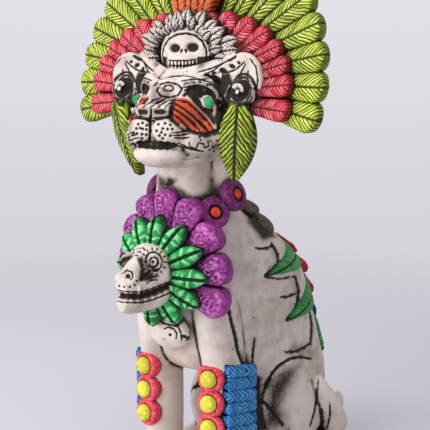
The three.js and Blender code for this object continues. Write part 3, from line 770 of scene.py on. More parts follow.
MIDDLE_LINES = [
    # the furrow under the nose, the nose's lower edge and the mouth
    ([(150.5, 108), (150.5, 124), (150, 141)], 2.4, 1.6),
    ([(131, 118), (141, 118), (150, 120), (160, 118.5), (170, 117), (173, 110)], 2.2, 0.9),
    ([(137, 144), (146, 145), (156, 145.5), (166, 145.5), (176, 146)], 5.6, 2.4),
    ([(176, 146), (184, 148), (192, 150), (204, 152)], 1.8, 0.9),
    ([(128, 140), (129, 147), (136, 149)], 1.8, 0.7),
    # the plate between the brows and its ring
    ([(157, 91), (160, 84), (168, 82), (177, 84), (182, 89),
      (178, 95), (168, 97.5), (161, 96), (157, 91)], 1.8, 1.0),
    ([(163.5, 88), (165, 85.8), (168.5, 85), (172, 86), (173.5, 88),
      (172, 90.2), (168.5, 91), (165, 90), (163.5, 88)], 1.5, 0.7),
]
for path, width, depth in MIDDLE_LINES:
    head.cut(path, width, depth, both=False)
NOSE_WRINKLES = [
    [(143, 107), (152, 101), (162, 98)], [(150, 107), (157, 103), (166, 99)],
    [(158, 107), (163, 103), (171, 99)], [(165, 108), (168, 104), (173, 101)],
]
for path in NOSE_WRINKLES:
    head.cut(path, 1.6, 0.6, both=False, wash_and_shade=0.8)
WHISKER_DOTS = [
    (158, 124), (165, 123), (170.5, 124.5), (162.5, 128.5), (167.5, 129), (172.5, 129),
    (156, 131), (161, 132.5), (159, 136), (165, 135), (170.5, 136), (162.5, 139),
    (138, 124), (142.5, 122.5), (147, 125), (136, 128.5), (140, 128), (142.5, 129),
    (146.5, 129.5), (133, 134), (136.5, 133.5), (142, 134.5), (146.5, 135), (142, 139),
]
for x, y in WHISKER_DOTS:
    head.dot((x, y), 1.5, 0.9, both=False)
WHISKERS = [
    [(172, 133), (180, 132.5), (189, 130.5)], [(173, 135.5), (181, 135.5), (190, 133)],
    [(174, 138), (182, 138.5), (190, 137)], [(125, 136), (129, 134), (134, 132)],
    [(126, 139), (131, 136), (137, 135)], [(128, 141), (134, 139), (139, 138)],
]
for path in WHISKERS:
    head.cut(path, 1.6, 0.7, both=False)
MOUTH_CORNER = {"middle": (133, 144), "sizes": (5, 4.5), "height": 1.4}
head.swell(**MOUTH_CORNER, both=False)
# faint folds under the jaw, and the dots on it
JAW_FOLD = [(184, 160), (192, 159), (200, 157)]
CHIN_FOLD = [(150, 163), (165, 165), (180, 165), (196, 162)]
head.cut(JAW_FOLD, 1.5, 0.4, wash_and_shade=0.5)
head.cut(CHIN_FOLD, 1.5, 0.3, wash_and_shade=0.25)
JAW_DOTS = [(200, 137), (201, 140), (217, 141), (224, 133), (225, 140), (210, 150), (214, 151), (213, 147)]
for x, y in JAW_DOTS:
    head.dot((x, y), 1.1, 0.5)
# the dashes and dots on the brow bands
BROW_DASHES = [
    [(184, 85), (186, 82.5), (189, 83)], [(191, 82), (194, 81.5), (195, 83.5)],
    [(184, 91), (188, 88.5)], [(200, 93), (205, 92)], [(212, 86), (209, 84)],
    [(222, 97), (219, 94)],
]
for path in BROW_DASHES:
    head.cut(path, 1.4, 0.5)
BROW_DOTS = [(207.5, 85), (215.5, 96), (221, 96.5), (200, 82)]
for x, y in BROW_DOTS:
    head.dot((x, y), 1.3, 0.6)
FOREHEAD_LINE = [(161, 79), (172, 76), (186, 75.5), (197, 78)]
head.cut(FOREHEAD_LINE, 1.6, 0.7, both=False, wash_and_shade=0.8)
# the dotted straps that run up to the ears, and the lines in the ears
STRAP_DOTS = [(207, 75, 2.3), (214, 73.5, 2.0), (222, 70, 2.6), (229, 65, 2.4), (236, 61, 1.8)]
for x, y, r in STRAP_DOTS:
    head.dot((x, y), r, 0.9)
EAR_LINES = [
    [(250, 58), (256, 67), (258, 80), (256, 96)],
    [(244, 62), (238, 70), (234, 77)], [(246, 70), (245, 76)],
    [(222, 64), (214, 70), (203, 76)],
]
for path in EAR_LINES:
    head.cut(path, 1.6, 0.7)
# the ears' hollows, and the rings of the spools
head.swell((45.5, 276), (12.5, 14), -4.2, view=FRONT_VIEW, power=2.4, wash_and_shade=0.25)
ring_turn = np.linspace(0, 2 * np.pi, 25)
for radius, width, depth in ((10.6, 1.4, 0.8), (8.6, 1.5, 1.0), (5.6, 3.6, 1.4)):
    circle = np.stack([SPOOL[0] + radius * np.cos(ring_turn), SPOOL[1] + radius * np.sin(ring_turn)], -1)
    head.cut(circle, width, depth, view=FRONT_VIEW)
# five painted ridges sweep down each cheek, and the eyes are green lozenges of paint
CHEEK = [
    (172, 102), (178, 98), (188, 99), (197, 106), (205, 115), (214, 127), (213, 131),
    (208, 133), (200, 130), (190, 129), (180, 124), (172, 119), (171, 110),
]
head.orange = head.inside(CHEEK)
CHEEK_CUTS = [
    [(178, 100), (188, 102), (198, 110), (206, 119), (213, 130)],
    [(174, 103), (184, 108), (194, 116), (208, 131)],
    [(172, 107), (182, 113), (192, 121), (201, 130)], [(172, 113), (180, 118), (189, 128)],
]
for path in CHEEK_CUTS:
    head.cut(path, 1.7, 1.0)
CHEEK_RIDGES = [
    [(182, 99), (192, 103), (201, 111), (210, 123)], [(176, 102), (187, 106), (197, 114), (209, 128)],
    [(173, 105), (184, 111), (194, 119), (204, 130)], [(172, 110), (181, 116), (189, 123), (195, 129)],
    [(172, 116), (178, 121), (184, 126)],
]
for path in CHEEK_RIDGES:
    head.cut(path, 3.0, -1.0, wash_and_shade=0)
EYE = [(203.5, 99), (208.5, 96), (214, 102), (212, 107.5), (207, 107.5)]
EYE_RIM = [(200, 97), (208, 92.5), (217.5, 101.5), (214, 111), (205, 111)]
head.wash_and_shade *= 1 - head.inside(EYE_RIM)
head.green = head.inside(EYE)
head.cut(EYE + EYE[:1], 1.3, 0.5, wash_and_shade=0.7)
head.settle(1.2, 12)
head_finish = bare_clay("head_clay", CLAY_PALE, CLAY_SHADE, paints=[
    ("orange", linear(206, 62, 26), linear(232, 94, 52)),
], glazes=[("green", linear(6, 122, 58), linear(26, 170, 90))])
make_piece("cat_head", [head.part("orange", "green")], head_finish)


# Every coloured feather is a flat tongue of clay with a dark quill line and barbs scratched at
# a slant, painted in one bright colour over the fired wash, which still shows in the scratches.
# The wash gathers past these shares of its half width and of its length.
RIM_FROM, TIP_FROM = 0.82, 0.985
UNDER_COLUMNS = 7


def plume(place, length, half_width, columns=25, rows=60, swell=2.4, back=4.0, quill=0.9, groove=0.8,
          tilt=0.0, seed=0.0, edge=0.5, shade=0.0, mark=None, sides=0.3):
    """One feather: place gives X, Y, Z for a distance across, a distance along and a height. edge and
    sides are the wash on its rim and down its sides, and shade is painted shade at its root."""
    s = np.linspace(0, 1, rows)
    t, u = np.meshgrid(1 - (1 - s) ** 1.4, np.linspace(-1, 1, columns), indexing="ij")
    along = t * length
    half = half_width(t)
    across = u * half
    line = np.exp(-((across / (quill * 0.7)) ** 2)) * np.clip((1 - t) * 12, 0, 1)
    rise = np.clip(1 - np.abs(u) ** 3, 0, 1) ** 0.55 * np.clip((1 - t) * length / 3.0, 0, 1) ** 0.5
    high = swell * rise - groove * line + tilt * u
    high += 0.15 * np.sin(along * 1.3 + u * 4 + seed * 3) + 0.12 * np.sin(along * 0.6 - u * 3 + seed * 8)
    rim = np.clip((np.abs(u) - RIM_FROM) / (1 - RIM_FROM), 0, 1) * edge
    tip = np.clip((t - TIP_FROM) / (1 - TIP_FROM), 0, 1) * edge * 0.4
    # wash on the rim and the tip, and painted shade towards the root
    wash_and_shade = np.maximum.reduce([rim, tip, shade * (1 - t) ** 1.5])
    if mark:
        raised, stained = mark(across, along)
        high = high + raised
        wash_and_shade = np.maximum(wash_and_shade, stained)
    top = place(across, along, high)
    under_across = np.linspace(1, -1, UNDER_COLUMNS)[None, :] * half[:, :1]
    under_along = np.repeat(along[:, :1], UNDER_COLUMNS, 1)
    under = place(under_across, under_along, np.full((rows, UNDER_COLUMNS), -back))
    points, faces = skin(np.concatenate([top, under], axis=1))
    values = {
        "wash_and_shade": (wash_and_shade, np.full((rows, UNDER_COLUMNS), sides)),
        "worn": (rise, np.zeros((rows, UNDER_COLUMNS))),
        "across": (across, under_across),
        "along": (along + seed * 7, under_along),
    }
    joined = {}
    for label, (face, behind) in values.items():
        rings = np.concatenate([face, behind], axis=1)
        joined[label] = np.append(rings.ravel(), [rings[0].mean(), rings[-1].mean()])
    return points, faces, joined


def round_tip(root_half, tip_half, length, blunt=0.9):
    """The half width of a feather that widens and ends in a round tip."""
    def half_width(t):
        run = tip_half * blunt
        start = 1 - run / length
        share = np.clip((t - start) / (1 - start), 0, 1)
        return (root_half + (tip_half - root_half) * t) * np.clip(1 - share**2.5, 0.0004, 1) ** 0.5
    return half_width


def pointed_tip(half, belly=0.4):
    """The half width of a leaf with a narrow root, a belly and a pointed tip."""
    def half_width(t):
        low = np.clip(t / belly, 0, 1)
        high = np.clip((t - belly) / (1 - belly), 0, 1)
        return half * (0.45 + 0.55 * np.sin(low * np.pi / 2)) * np.clip(1 - high**1.9, 0.004, 1)
    return half_width


def painted_clay(name, deep, main, light, dark, dry=0.5, wash_and_shade_gain=1.0, barbs=None, quill=0.0):
    """Matt paint over the wash: brushed tones, pale worn ridges, dark scratches and painted shade where the
    wash value also carries it. barbs are the spacing in millimetres, the slant, the width as a share of the
    spacing and the darkness."""
    f = Finish(name)
    wash_and_shade = f.attribute("wash_and_shade")
    worn = f.attribute("worn")
    broad = f.noise(0.05, 3)
    strokes = f.noise(0.45, 3, 0.6)
    grain = f.noise(1.6, 2, 0.6)
    near = f.add("ShaderNodeAmbientOcclusion", {"samples": 8}, {"Distance": 6 * MM}, out="AO")
    crease = (1 - near).steep(0.26, 0.85)
    # this darkening is the wash together with painted shade, since the wash value carries both
    dirt_and_shade = wash_and_shade * wash_and_shade_gain + crease * 0.8
    relief = strokes * 0.4 + grain * 0.25 + broad * 0.15
    streak = strokes
    if barbs:
        spacing, slant, width, darkness = barbs
        across, along = f.attribute("across"), f.attribute("along")
        off = across.size()
        drift = f.noise(0.12, 2)
        phase = (along - off * slant) / spacing + (drift - 0.5) * 1.6
        saw = phase.math("PINGPONG", phase, 0.5) * 2
        scratch = (1 - saw.steep(width * 0.35, width)) * (0.35 + strokes * 0.9) * darkness
        if quill:
            scratch = scratch.most(1 - off.steep(quill * 0.45, quill))
        dirt_and_shade = dirt_and_shade + scratch
        relief = relief - scratch * 1.3
        streak = f.add("ShaderNodeTexNoise", {"noise_dimensions": "2D"}, {
            "Vector": f.add("ShaderNodeCombineXYZ", {}, {"X": phase * 2.2, "Y": off * 0.12}), "Scale": 1.0,
            "Detail": 2.0,
        })
    tone = f.mix((broad * 0.5 + streak * 0.5).steep(0.36, 0.62), deep, main)
    tone = f.mix(worn * dry * streak.steep(0.42, 0.66), tone, light)
    dirt_and_shade = (dirt_and_shade + (grain - 0.5) * 0.5).steep(0.28, 0.85)
    tone = f.mix(dirt_and_shade * 0.94, tone, dark)
    f.set("Base Color", tone)
    f.set("Roughness", (0.5 + grain * 0.2 + dirt_and_shade * 0.15).held())
    f.set("Specular IOR Level", SHINE)
    f.set("Normal", f.bump(relief, 0.7, 0.5))
    return f.material


# The headdress is a fan of three rows set into the back of the head: nineteen lime feathers,
# a shorter row of red ones in front of them and three orange ones standing up in the middle.
FAN_Y, FAN_Z, FAN_LEAN, FAN_CUP = -39.5, 272, math.tan(math.radians(9.5)), 3.0
OUTER = {"count": 19, "from": -18, "to": 198, "root": 24, "reach": 99.5}
RED = {"count": 16, "from": -13, "to": 193, "root": 40, "wide": 80.5, "high": 54, "drop": 8}
ORANGE = {"count": 3, "from": 72, "to": 108, "root": 34, "reach": 70}


def fan_point(across, up, forward):
    back = FAN_LEAN * up - FAN_CUP * (across / OUTER["reach"]) ** 2
    return np.stack([across, FAN_Y + back - forward, FAN_Z + up], -1)


def fan_row(row, tip, forward, shade=0.0, **looks):
    """A row of feathers round the fan. tip gives the end of a feather for its turn. The painted shade
    at the feathers' roots is heavier on the figure's left side, away from the lamp."""
    step = (row["to"] - row["from"]) / row["count"]
    feathers = []
    for i in range(row["count"]):
        turn = math.radians(row["from"] + step * (i + 0.5))
        before, after = tip(turn - math.radians(step / 2)), tip(turn + math.radians(step / 2))
        end = np.array(tip(turn))
        middle = np.array([0, -row.get("drop", 0)])
        reach = np.linalg.norm(end - middle)
        way = (end - middle) / reach
        cross = np.array([way[1], -way[0]])
        tip_half = np.linalg.norm(np.array(after) - before) / 2 * 1.05
        length = reach - row["root"]
        root_half = tip_half * row["root"] / reach

        def place(a, b, h, way=way, cross=cross, middle=middle):
            x = middle[0] + way[0] * (row["root"] + b) + cross[0] * a
            z = middle[1] + way[1] * (row["root"] + b) + cross[1] * a
            return fan_point(x, z, forward + h)

        # painted shade at the roots, heavier on the figure's left side, away from the lamp
        feathers.append(plume(place, length, round_tip(root_half, tip_half, length), seed=i * 0.37,
                              shade=shade * (1 + 0.75 * math.cos(turn)), **looks))
    return feathers


def round_end(reach):
    return lambda turn: (reach * math.cos(turn), reach * math.sin(turn))


def oval_end(turn):
    def square(value):
        return math.copysign(abs(value) ** (2 / 2.3), value)
    return RED["wide"] * square(math.cos(turn)), RED["high"] * square(math.sin(turn)) - RED["drop"]


lime_finish = painted_clay("lime_paint", linear(128, 144, 18), linear(180, 198, 34), linear(226, 236, 124),
                           dark=linear(30, 30, 8), barbs=(3.0, 1.1, 0.5, 0.95), quill=0.9, dry=0.8)
red_finish = painted_clay("red_paint", linear(178, 14, 40), linear(226, 46, 68), linear(246, 142, 146),
                          dark=linear(66, 8, 16), barbs=(2.3, 0.7, 0.5, 0.75), quill=0.5, dry=0.8)
orange_finish = painted_clay("orange_paint", linear(176, 60, 20), linear(220, 92, 36), linear(244, 158, 96),
                             dark=linear(70, 22, 10), barbs=(2.6, 1.0, 0.5, 0.7), quill=0.7)
limes = fan_row(OUTER, round_end(OUTER["reach"]), 0, swell=3.2, back=6, tilt=0.9, shade=0.7)
reds = fan_row(RED, oval_end, 9, swell=3.2, back=7, tilt=0.9, shade=1.0)
oranges = fan_row(ORANGE, round_end(ORANGE["reach"]), 11, swell=3.2, back=9)
make_piece("outer_feathers", limes, lime_finish)
make_piece("red_feathers", reds, red_finish)
make_piece("orange_feathers", oranges, orange_finish)

# One long feather hangs from the back of each ear, bent a little round the cheek. It is a leaf of
# clay with a deep quill line and wide barbs, in a darker lime than the fan, and that darker lime is painted
# shade.
HANG_TOP, HANG_TIP, HANG_HALF = (50, -61, 259), (39.5, -50, 209), 12.4


def along_line(start, end, front, bow=0.0):
    """A place function for a leaf that lies from start to end with its face towards front."""
    start, end = np.array(start, float), np.array(end, float)
    length = np.linalg.norm(end - start)
    way = (end - start) / length
    cross = unit(np.cross(way, front))
    out = np.cross(cross, way)

    def place(a, b, h):
        lift = h + bow * np.sin(np.clip(b / length, 0, 1) * np.pi)
        return start + way * b[..., None] + cross * a[..., None] + out * lift[..., None]
    return place, length


hanging = []
for side in (LEFT, RIGHT):
    place, length = along_line([side * HANG_TOP[0], *HANG_TOP[1:]], [side * HANG_TIP[0], *HANG_TIP[1:]],
                               (side * 0.34, -0.94, 0), bow=1.5)
    hanging.append(plume(place, length, pointed_tip(HANG_HALF, 0.42), swell=3.4, back=3.5, quill=1.2,
                         groove=1.2,
                         seed=side * 0.3, edge=0.3, rows=70))
# painted shade: a darker copy of the lime paint
hanging_shaded_finish = painted_clay("hanging_lime_painted_shade", linear(104, 120, 20), linear(166, 188, 36),
                              linear(216, 230, 104), dark=linear(18, 18, 8), barbs=(3.8, 1.25, 0.66, 1.1),
                              quill=1.3,
                              dry=0.6)
make_piece("hanging_feathers", hanging, hanging_shaded_finish)

# A collar of purple discs lies round the neck, each with an orange bead in a dark ring. Both are
# buttons of clay, pressed on and painted.
COLLAR = {"y": -40.5, "radius": 31, "z": 200, "rise": 0.66, "back": 0.25, "sunk": 3.5}


def disc(middle, front, rings, columns=40):
    """A round button: rings are its radius and height from the back, and the wash on each."""
    front = unit(front)
    cross = unit(np.cross(front, [0, 0, 1]) if abs(front[2]) < 0.9 else np.cross(front, [0, 1, 0]))
    up = np.cross(cross, front)
    turn = np.linspace(0, 2 * np.pi, columns, endpoint=False)
    around = np.cos(turn)[:, None] * cross + np.sin(turn)[:, None] * up
    shape = smooth_rows(rings, len(rings) * 4)
    loops = [np.array(middle) + max(r, 0.02) * around + h * front for r, h, w in shape]
    points, faces = skin(loops)
    wash_and_shade = np.append(np.repeat(np.clip(shape[:, 2], 0, 1), columns), [shape[0, 2], shape[-1, 2]])
    return points, faces, {"wash_and_shade": wash_and_shade, "worn": (1 - wash_and_shade) * 0.6}


collar_discs, collar_beads = [], []
for degrees in (60, 90, 270, 300):
    turn = math.radians(degrees)
    out = np.array([math.sin(turn), -math.cos(turn), 0])
    y = COLLAR["y"] + COLLAR["radius"] * out[1]
    behind = y - COLLAR["y"]
    z = COLLAR["z"] + behind * (COLLAR["rise"] if behind < 0 else COLLAR["back"])
    middle = np.array([COLLAR["radius"] * out[0], y, z])
    front = out + np.array([0, 0, 0.3])
    collar_discs.append(disc(middle - unit(front) * COLLAR["sunk"], front, [
        (9, 0, 0.5), (10.4, 1, 0.5), (10.7, 4, 0.3), (10.2, 6, 0.1), (8.6, 7.2, 0), (6.2, 7.6, 0.1),
        (4.7, 7.2, 1),
        (3.9, 6.2, 1), (2, 6.2, 1), (0, 6.2, 1),
    ]))
    collar_beads.append(disc(middle - unit(front) * COLLAR["sunk"], front, [
        (3, 5, 0.6), (3.4, 6.2, 0.5), (3.2, 7.4, 0.1), (2.2, 8.2, 0), (0, 8.6, 0),
    ], 24))
purple_finish = painted_clay("purple_paint", linear(88, 16, 76), linear(130, 34, 112), linear(186, 92, 168),
                             dark=linear(30, 8, 28), wash_and_shade_gain=0.9)
bead_finish = painted_clay("bead_paint", linear(196, 42, 14), linear(228, 62, 22), linear(244, 120, 70),
                           dark=linear(20, 10, 8))
make_piece("collar_discs", collar_discs, purple_finish)
make_piece("collar_beads", collar_beads, bead_finish)

# Nine purple plumes stand out from the chest in a wide fan, each with a coiled boss near its end.
# They are thick tongues of clay, and the coils are cut in them.
PLUME_COUNT, PLUME_FROM, PLUME_SPREAD, PLUME_LEAN = 9, -22.5, 245, -10
COIL_PITCH, COIL_RADIUS = 2.5, 6.4
PLUME_Y, PLUME_Z, PLUME_WIDE, PLUME_HIGH, PLUME_ROOT = -72, 149, 45, 56, 14


def plume_end(turn):
    return PLUME_WIDE * math.cos(turn), PLUME_HIGH * math.sin(turn)


chest_plumes = []
for i in range(PLUME_COUNT):
    turn = math.radians(PLUME_FROM + PLUME_SPREAD / PLUME_COUNT * (i + 0.5) + PLUME_LEAN)
    step = math.radians(PLUME_SPREAD / PLUME_COUNT / 2)
    end = np.array(plume_end(turn))
    reach = np.linalg.norm(end)
    way = end / reach
    cross = np.array([way[1], -way[0]])
    half = np.linalg.norm(np.array(plume_end(turn + step)) - plume_end(turn - step)) / 2

    def place(a, b, h, way=way, cross=cross):
        x = way[0] * (PLUME_ROOT + b) + cross[0] * a
        z = way[1] * (PLUME_ROOT + b) + cross[1] * a
        share = np.hypot(x / PLUME_WIDE, z / PLUME_HIGH)
        sweep = 7 * share * np.abs(x) / np.maximum(np.hypot(x, z), 1)
        return np.stack([x, PLUME_Y + sweep - h, PLUME_Z + z], -1)

    def coil(a, b, middle=reach - PLUME_ROOT - half * 0.8, way_round=1 if math.cos(turn) > 0 else -1):
        away = np.hypot(a, b - middle)
        phase = (away / COIL_PITCH - way_round * np.arctan2(b - middle, a) / (2 * np.pi)) % 1
        groove = np.exp(-(((phase - 0.5) / 0.17) ** 2)) * np.clip((COIL_RADIUS - away) / 0.8, 0, 1)
        streaks = np.clip((away - 7) / 2, 0, 1) * np.exp(-(((np.abs(a) - 2.6) / 0.7) ** 2)) * (b < middle)
        boss = 1.9 * np.exp(-((away / COIL_RADIUS) ** 6))
        return boss - 1.2 * groove - 0.7 * streaks, 0.62 * groove + 0.5 * streaks

    length = reach - PLUME_ROOT
    chest_plumes.append(plume(place, length, round_tip(half * 0.35, half, length, 1.0), swell=4.6, back=6,
                              groove=0, columns=49, rows=88, seed=i * 0.41, shade=0.8, mark=coil))
plume_finish = painted_clay("plume_paint", linear(110, 26, 104), linear(172, 56, 152), linear(222, 140, 208),
                            dark=linear(40, 8, 38), wash_and_shade_gain=0.85, dry=0.7)
make_piece("chest_plumes", chest_plumes, plume_finish)

# Twelve green leaves lie in front of the plumes round the neck of the serpent's head. Each is a
# small leaf of clay with a deep line down its middle, painted over the wash.
LEAF_COUNT, LEAF_LEAN = 12, -4
LEAF_Y, LEAF_Z, LEAF_ROOT, LEAF_REACH, LEAF_SWEEP = -82, 153, 13, 37, 8
leaves = []
for i in range(LEAF_COUNT):
    turn = math.radians(i * 360 / LEAF_COUNT + LEAF_LEAN)
    way = np.array([math.cos(turn), 0, math.sin(turn)])
    start = np.array([0, LEAF_Y - 3, LEAF_Z]) + way * LEAF_ROOT
    end = np.array([0, LEAF_Y + LEAF_SWEEP * abs(math.cos(turn)), LEAF_Z]) + way * LEAF_REACH
    place, length = along_line(start, end, (0, -1, 0), bow=1.5)
    leaves.append(plume(place, length, pointed_tip(6.6, 0.5), swell=4.2, back=4, quill=1.5, groove=2.2,
                        columns=27, rows=50, seed=i * 0.23, edge=0.6))
green_finish = painted_clay("green_paint", linear(18, 122, 56), linear(46, 178, 86), linear(136, 226, 152),
                            dark=linear(6, 28, 12), wash_and_shade_gain=0.95, dry=0.9, barbs=(6, 0.2, 0.2, 0.2),
                            quill=1.5)
make_piece("serpent_leaves", leaves, green_finish)

# The serpent's head juts from the chest: long jaws with teeth, ringed eyes and a ringed snout. It
# is bare clay, joined to the chest, with its lines cut by a point.
SERPENT = [
    (-70, 151, 17, 19),
    (-88, 151, 18, 21),
    (-97, 149, 14.5, 19.5),
    (-105, 146, 10.5, 16.5),
    (-111, 144, 7.5, 13.5),
    (-115, 143, 4.5, 10.5),
]
serpent_parts = [upright(SERPENT, 48, 2.2, 40)]
for side in (LEFT, RIGHT):
    serpent_parts.append(tube([(side * 8, -96, 161, 5.2), (side * 12.5, -98.5, 161, 5.8),
                               (side * 15, -100, 161, 4.8)]))
    serpent_parts.append(egg((side * 4.5, -109, 152), (4.2, 5, 4.5)))
serpent = Clay(serpent_parts, 0.5, 2)
SERPENT_LINES = [
    # the mouth and the corner of the jaw
    ([(118, 296), (128, 297), (140, 297), (152, 294), (164, 289), (176, 283)], 7.5, 3.4),
    ([(147, 284), (150, 281), (154, 280), (158, 280)], 1.5, 0.6),
]
for path, width, depth in SERPENT_LINES:
    serpent.cut(path, width, depth)
LIP_LINES = [
    [(118, 291), (130, 292), (141, 292), (152, 289), (164, 284), (176, 279)],
    [(119, 302), (130, 303), (142, 303), (154, 300), (166, 295), (176, 290)],
]
for path in LIP_LINES:
    serpent.cut(path, 1.5, 0.7)
FACE_HOLLOW = [(160, 269), (152, 271), (146, 275), (142, 281)]
serpent.cut(FACE_HOLLOW, 3.2, 1.2, wash_and_shade=0.8)
serpent.swell((146, 268), (12, 16), -0.8, wash_and_shade=0.6)
SERPENT_CLOUDS = [
    # darkening between the snout and the eye, and where the head meets its leaves
    ([(136, 258), (143, 255), (146, 272), (160, 276), (150, 281), (138, 282), (140, 268)], 0.85, 5),
    ([(164, 248), (176, 250), (178, 290), (170, 300), (168, 276)], 0.6, 7),
]
for outline, amount, soft in SERPENT_CLOUDS:
    serpent.cloud_of_wash_and_shade(outline, amount, soft=soft)
FANG = [(139, 286), (140, 299)]
serpent.cut(FANG, 2.6, -1.6, wash_and_shade=0)
SERPENT_EYE = np.array([153.5, 262])
for radius, width in ((10.2, 1.8), (5.6, 2.4)):
    x = SERPENT_EYE[0] + radius * 0.86 * np.cos(ring_turn)
    circle = np.stack([x, SERPENT_EYE[1] + radius * np.sin(ring_turn)], -1)
    serpent.cut(circle, width, 0.9)
serpent.dot(SERPENT_EYE, 1.5, 0.8)
for degrees in range(0, 360, 24):
    c, s = math.cos(math.radians(degrees)), math.sin(math.radians(degrees))
    lash = [SERPENT_EYE + (10.5 * c, 12 * s), SERPENT_EYE + (13.5 * c, 15 * s)]
    serpent.cut(lash, 1.3, 0.5)
NOSTRIL, NOSTRIL_RIM = (128, 276), [(123, 273), (127, 270), (132, 272), (133, 277), (130, 280)]
serpent.dot(NOSTRIL, 2.4, 1.2, both=False)
serpent.cut(NOSTRIL_RIM, 1.6, 0.7, both=False)
SNOUT_DOTS = [(119, 286), (124, 287), (130, 287), (135, 285), (137, 281)]
for x, y in SNOUT_DOTS:
    serpent.dot((x, y), 1.2, 0.6, both=False)
BROW_NICKS = [
    [(134, 252), (138, 256)], [(137, 248), (141, 253)], [(142, 246), (145, 250)],
    [(166, 250), (170, 256)], [(171, 252), (174, 260)], [(168, 262), (172, 268)],
]
for path in BROW_NICKS:
    serpent.cut(path, 1.5, 0.6)
serpent.settle(1.2, 10)
make_piece("serpent_head", [serpent.part()], clay_finish)

# A small oval pendant with cut curls hangs on the breast under the serpent. It is a pat of bare
# clay pressed onto the chest.
pendant = Clay([egg((0, -69, 112), (17, 8, 14), (14, 0, 0))], 0.5, 1)
PENDANT_CURLS = [
    ([(157, 316), (166, 317), (176, 318), (186, 320), (191, 328), (191, 336), (186, 341)], 2.0),
    ([(158, 317), (163, 323), (170, 325), (178, 326), (181, 333), (182, 341)], 1.8),
    ([(164, 329), (168, 327), (174, 329), (177, 334), (176, 339)], 1.7),
    ([(176, 326), (180, 322), (182, 321)], 4.0),
    ([(181, 336), (186, 337), (190, 339)], 3.0),
]
for path, width in PENDANT_CURLS:
    pendant.cut(path, width, 0.8, both=False)
pendant.dot((170, 335), 1.6, 0.6, both=False)
pendant.settle(1.0, 8)
make_piece("pendant", [pendant.part()], clay_finish)

# Three bracelets ring each foreleg: a pink disc with a yellow boss in front, and a pair of blue
# feathers laid back round the outer side of the leg.
BRACELET_ROWS = (81.5, 65, 48.5)
pink_discs, yellow_bosses, blue_feathers = [], [], []
for side in (LEFT, RIGHT):
    for row, z in enumerate(BRACELET_ROWS):
        middle = np.array([side * 26.5, -56.5, z])
        front = np.array([side * 0.14, -1, 0.02])
        pink_discs.append(disc(middle, front, [
            (7, -4, 0.6), (8.6, -2, 0.6), (9.6, 1, 0.4), (9.4, 4, 0.1), (8.2, 5.4, 0), (6.8, 5.8, 0.05),
            (5.9, 5.0, 0.9),
            (5.2, 4.4, 1), (3, 4.4, 1), (0, 4.4, 1),
        ]))
        yellow_bosses.append(disc(middle, front, [
            (4.5, 3, 0.9), (5.6, 4.5, 0.7), (5.9, 6.2, 0.15), (5.2, 8.2, 0), (3.4, 9.6, 0), (0, 10.2, 0),
        ]))
        for half in (-1, 1):
            def place(a, b, h, half=half, side=side, z=z):
                y = -56 + b
                x = 37.3 + 1.8 * b / 32 - 2.8 * np.clip((b - 22) / 12, 0, 1) ** 2
                height = z + 1 - 0.15 * b + half * 4.2 * (1 - 0.25 * np.clip((b - 20) / 14, 0, 1)) + a
                return np.stack([side * (x + h), y, height], -1)
            blue_feathers.append(plume(place, 33, round_tip(4.7, 4.7, 33, 1.2), swell=2.6, back=6, groove=0,
                                       columns=21, rows=44, seed=row * 0.3 + half, edge=0.9))
pink_finish = painted_clay("pink_paint", linear(206, 32, 66), linear(240, 76, 98), linear(250, 150, 154),
                           dark=linear(50, 10, 16), wash_and_shade_gain=0.9)
yellow_finish = painted_clay("yellow_paint", linear(196, 184, 34), linear(222, 218, 62),
                             linear(240, 238, 140),
                             dark=linear(60, 26, 10), wash_and_shade_gain=0.9)
blue_finish = painted_clay("blue_paint", linear(12, 80, 146), linear(24, 126, 200), linear(96, 186, 232),
                           dark=linear(4, 12, 34), barbs=(4.2, -1.2, 0.35, 0.9), dry=0.7)
make_piece("bracelet_discs", pink_discs, pink_finish)
make_piece("bracelet_bosses", yellow_bosses, yellow_finish)
make_piece("bracelet_feathers", blue_feathers, blue_finish)

# Scales of clay overlap down the spine, blue and red, and green leaves point forward from them.
# Each is a thin tongue of clay laid close to the back, scratched and painted.
BACK_LEAVES = [
    # height and turn of the root, height and turn of the tip, height of the root's edge
    (150, 62, 143, -6, 23),
    (118, 62, 108, 3, 26),
    (88, 64, 70, 44, 26),
]
BACK_SCALES = [
    # top, low edge, half spread in degrees, lifts at the root, the middle and the low edge, rim
    (163, 144, 33, (3, 8, 7), 0.8),
    (146, 127, 32, (3, 8, 7), 0.8),
    (129, 110, 31, (3, 8, 7), 0.8),
    (112, 90, 26, (2, 7, 6), 0.7),
    (92, 68, 21, (2, 5, 4), 0.7),
]


def torso_point(z, degrees, out):
    """A point on the torso's skin, or out from it. 0 degrees is its left side and 90 its back."""
    rows = np.array(TORSO, float)
    middle, long, wide = (np.interp(z, rows[:, 0], rows[:, k]) for k in (1, 2, 3))
    turn = np.radians(degrees)
    return np.stack([(wide + out) * np.cos(turn), middle + (long + out) * np.sin(turn), z], -1)


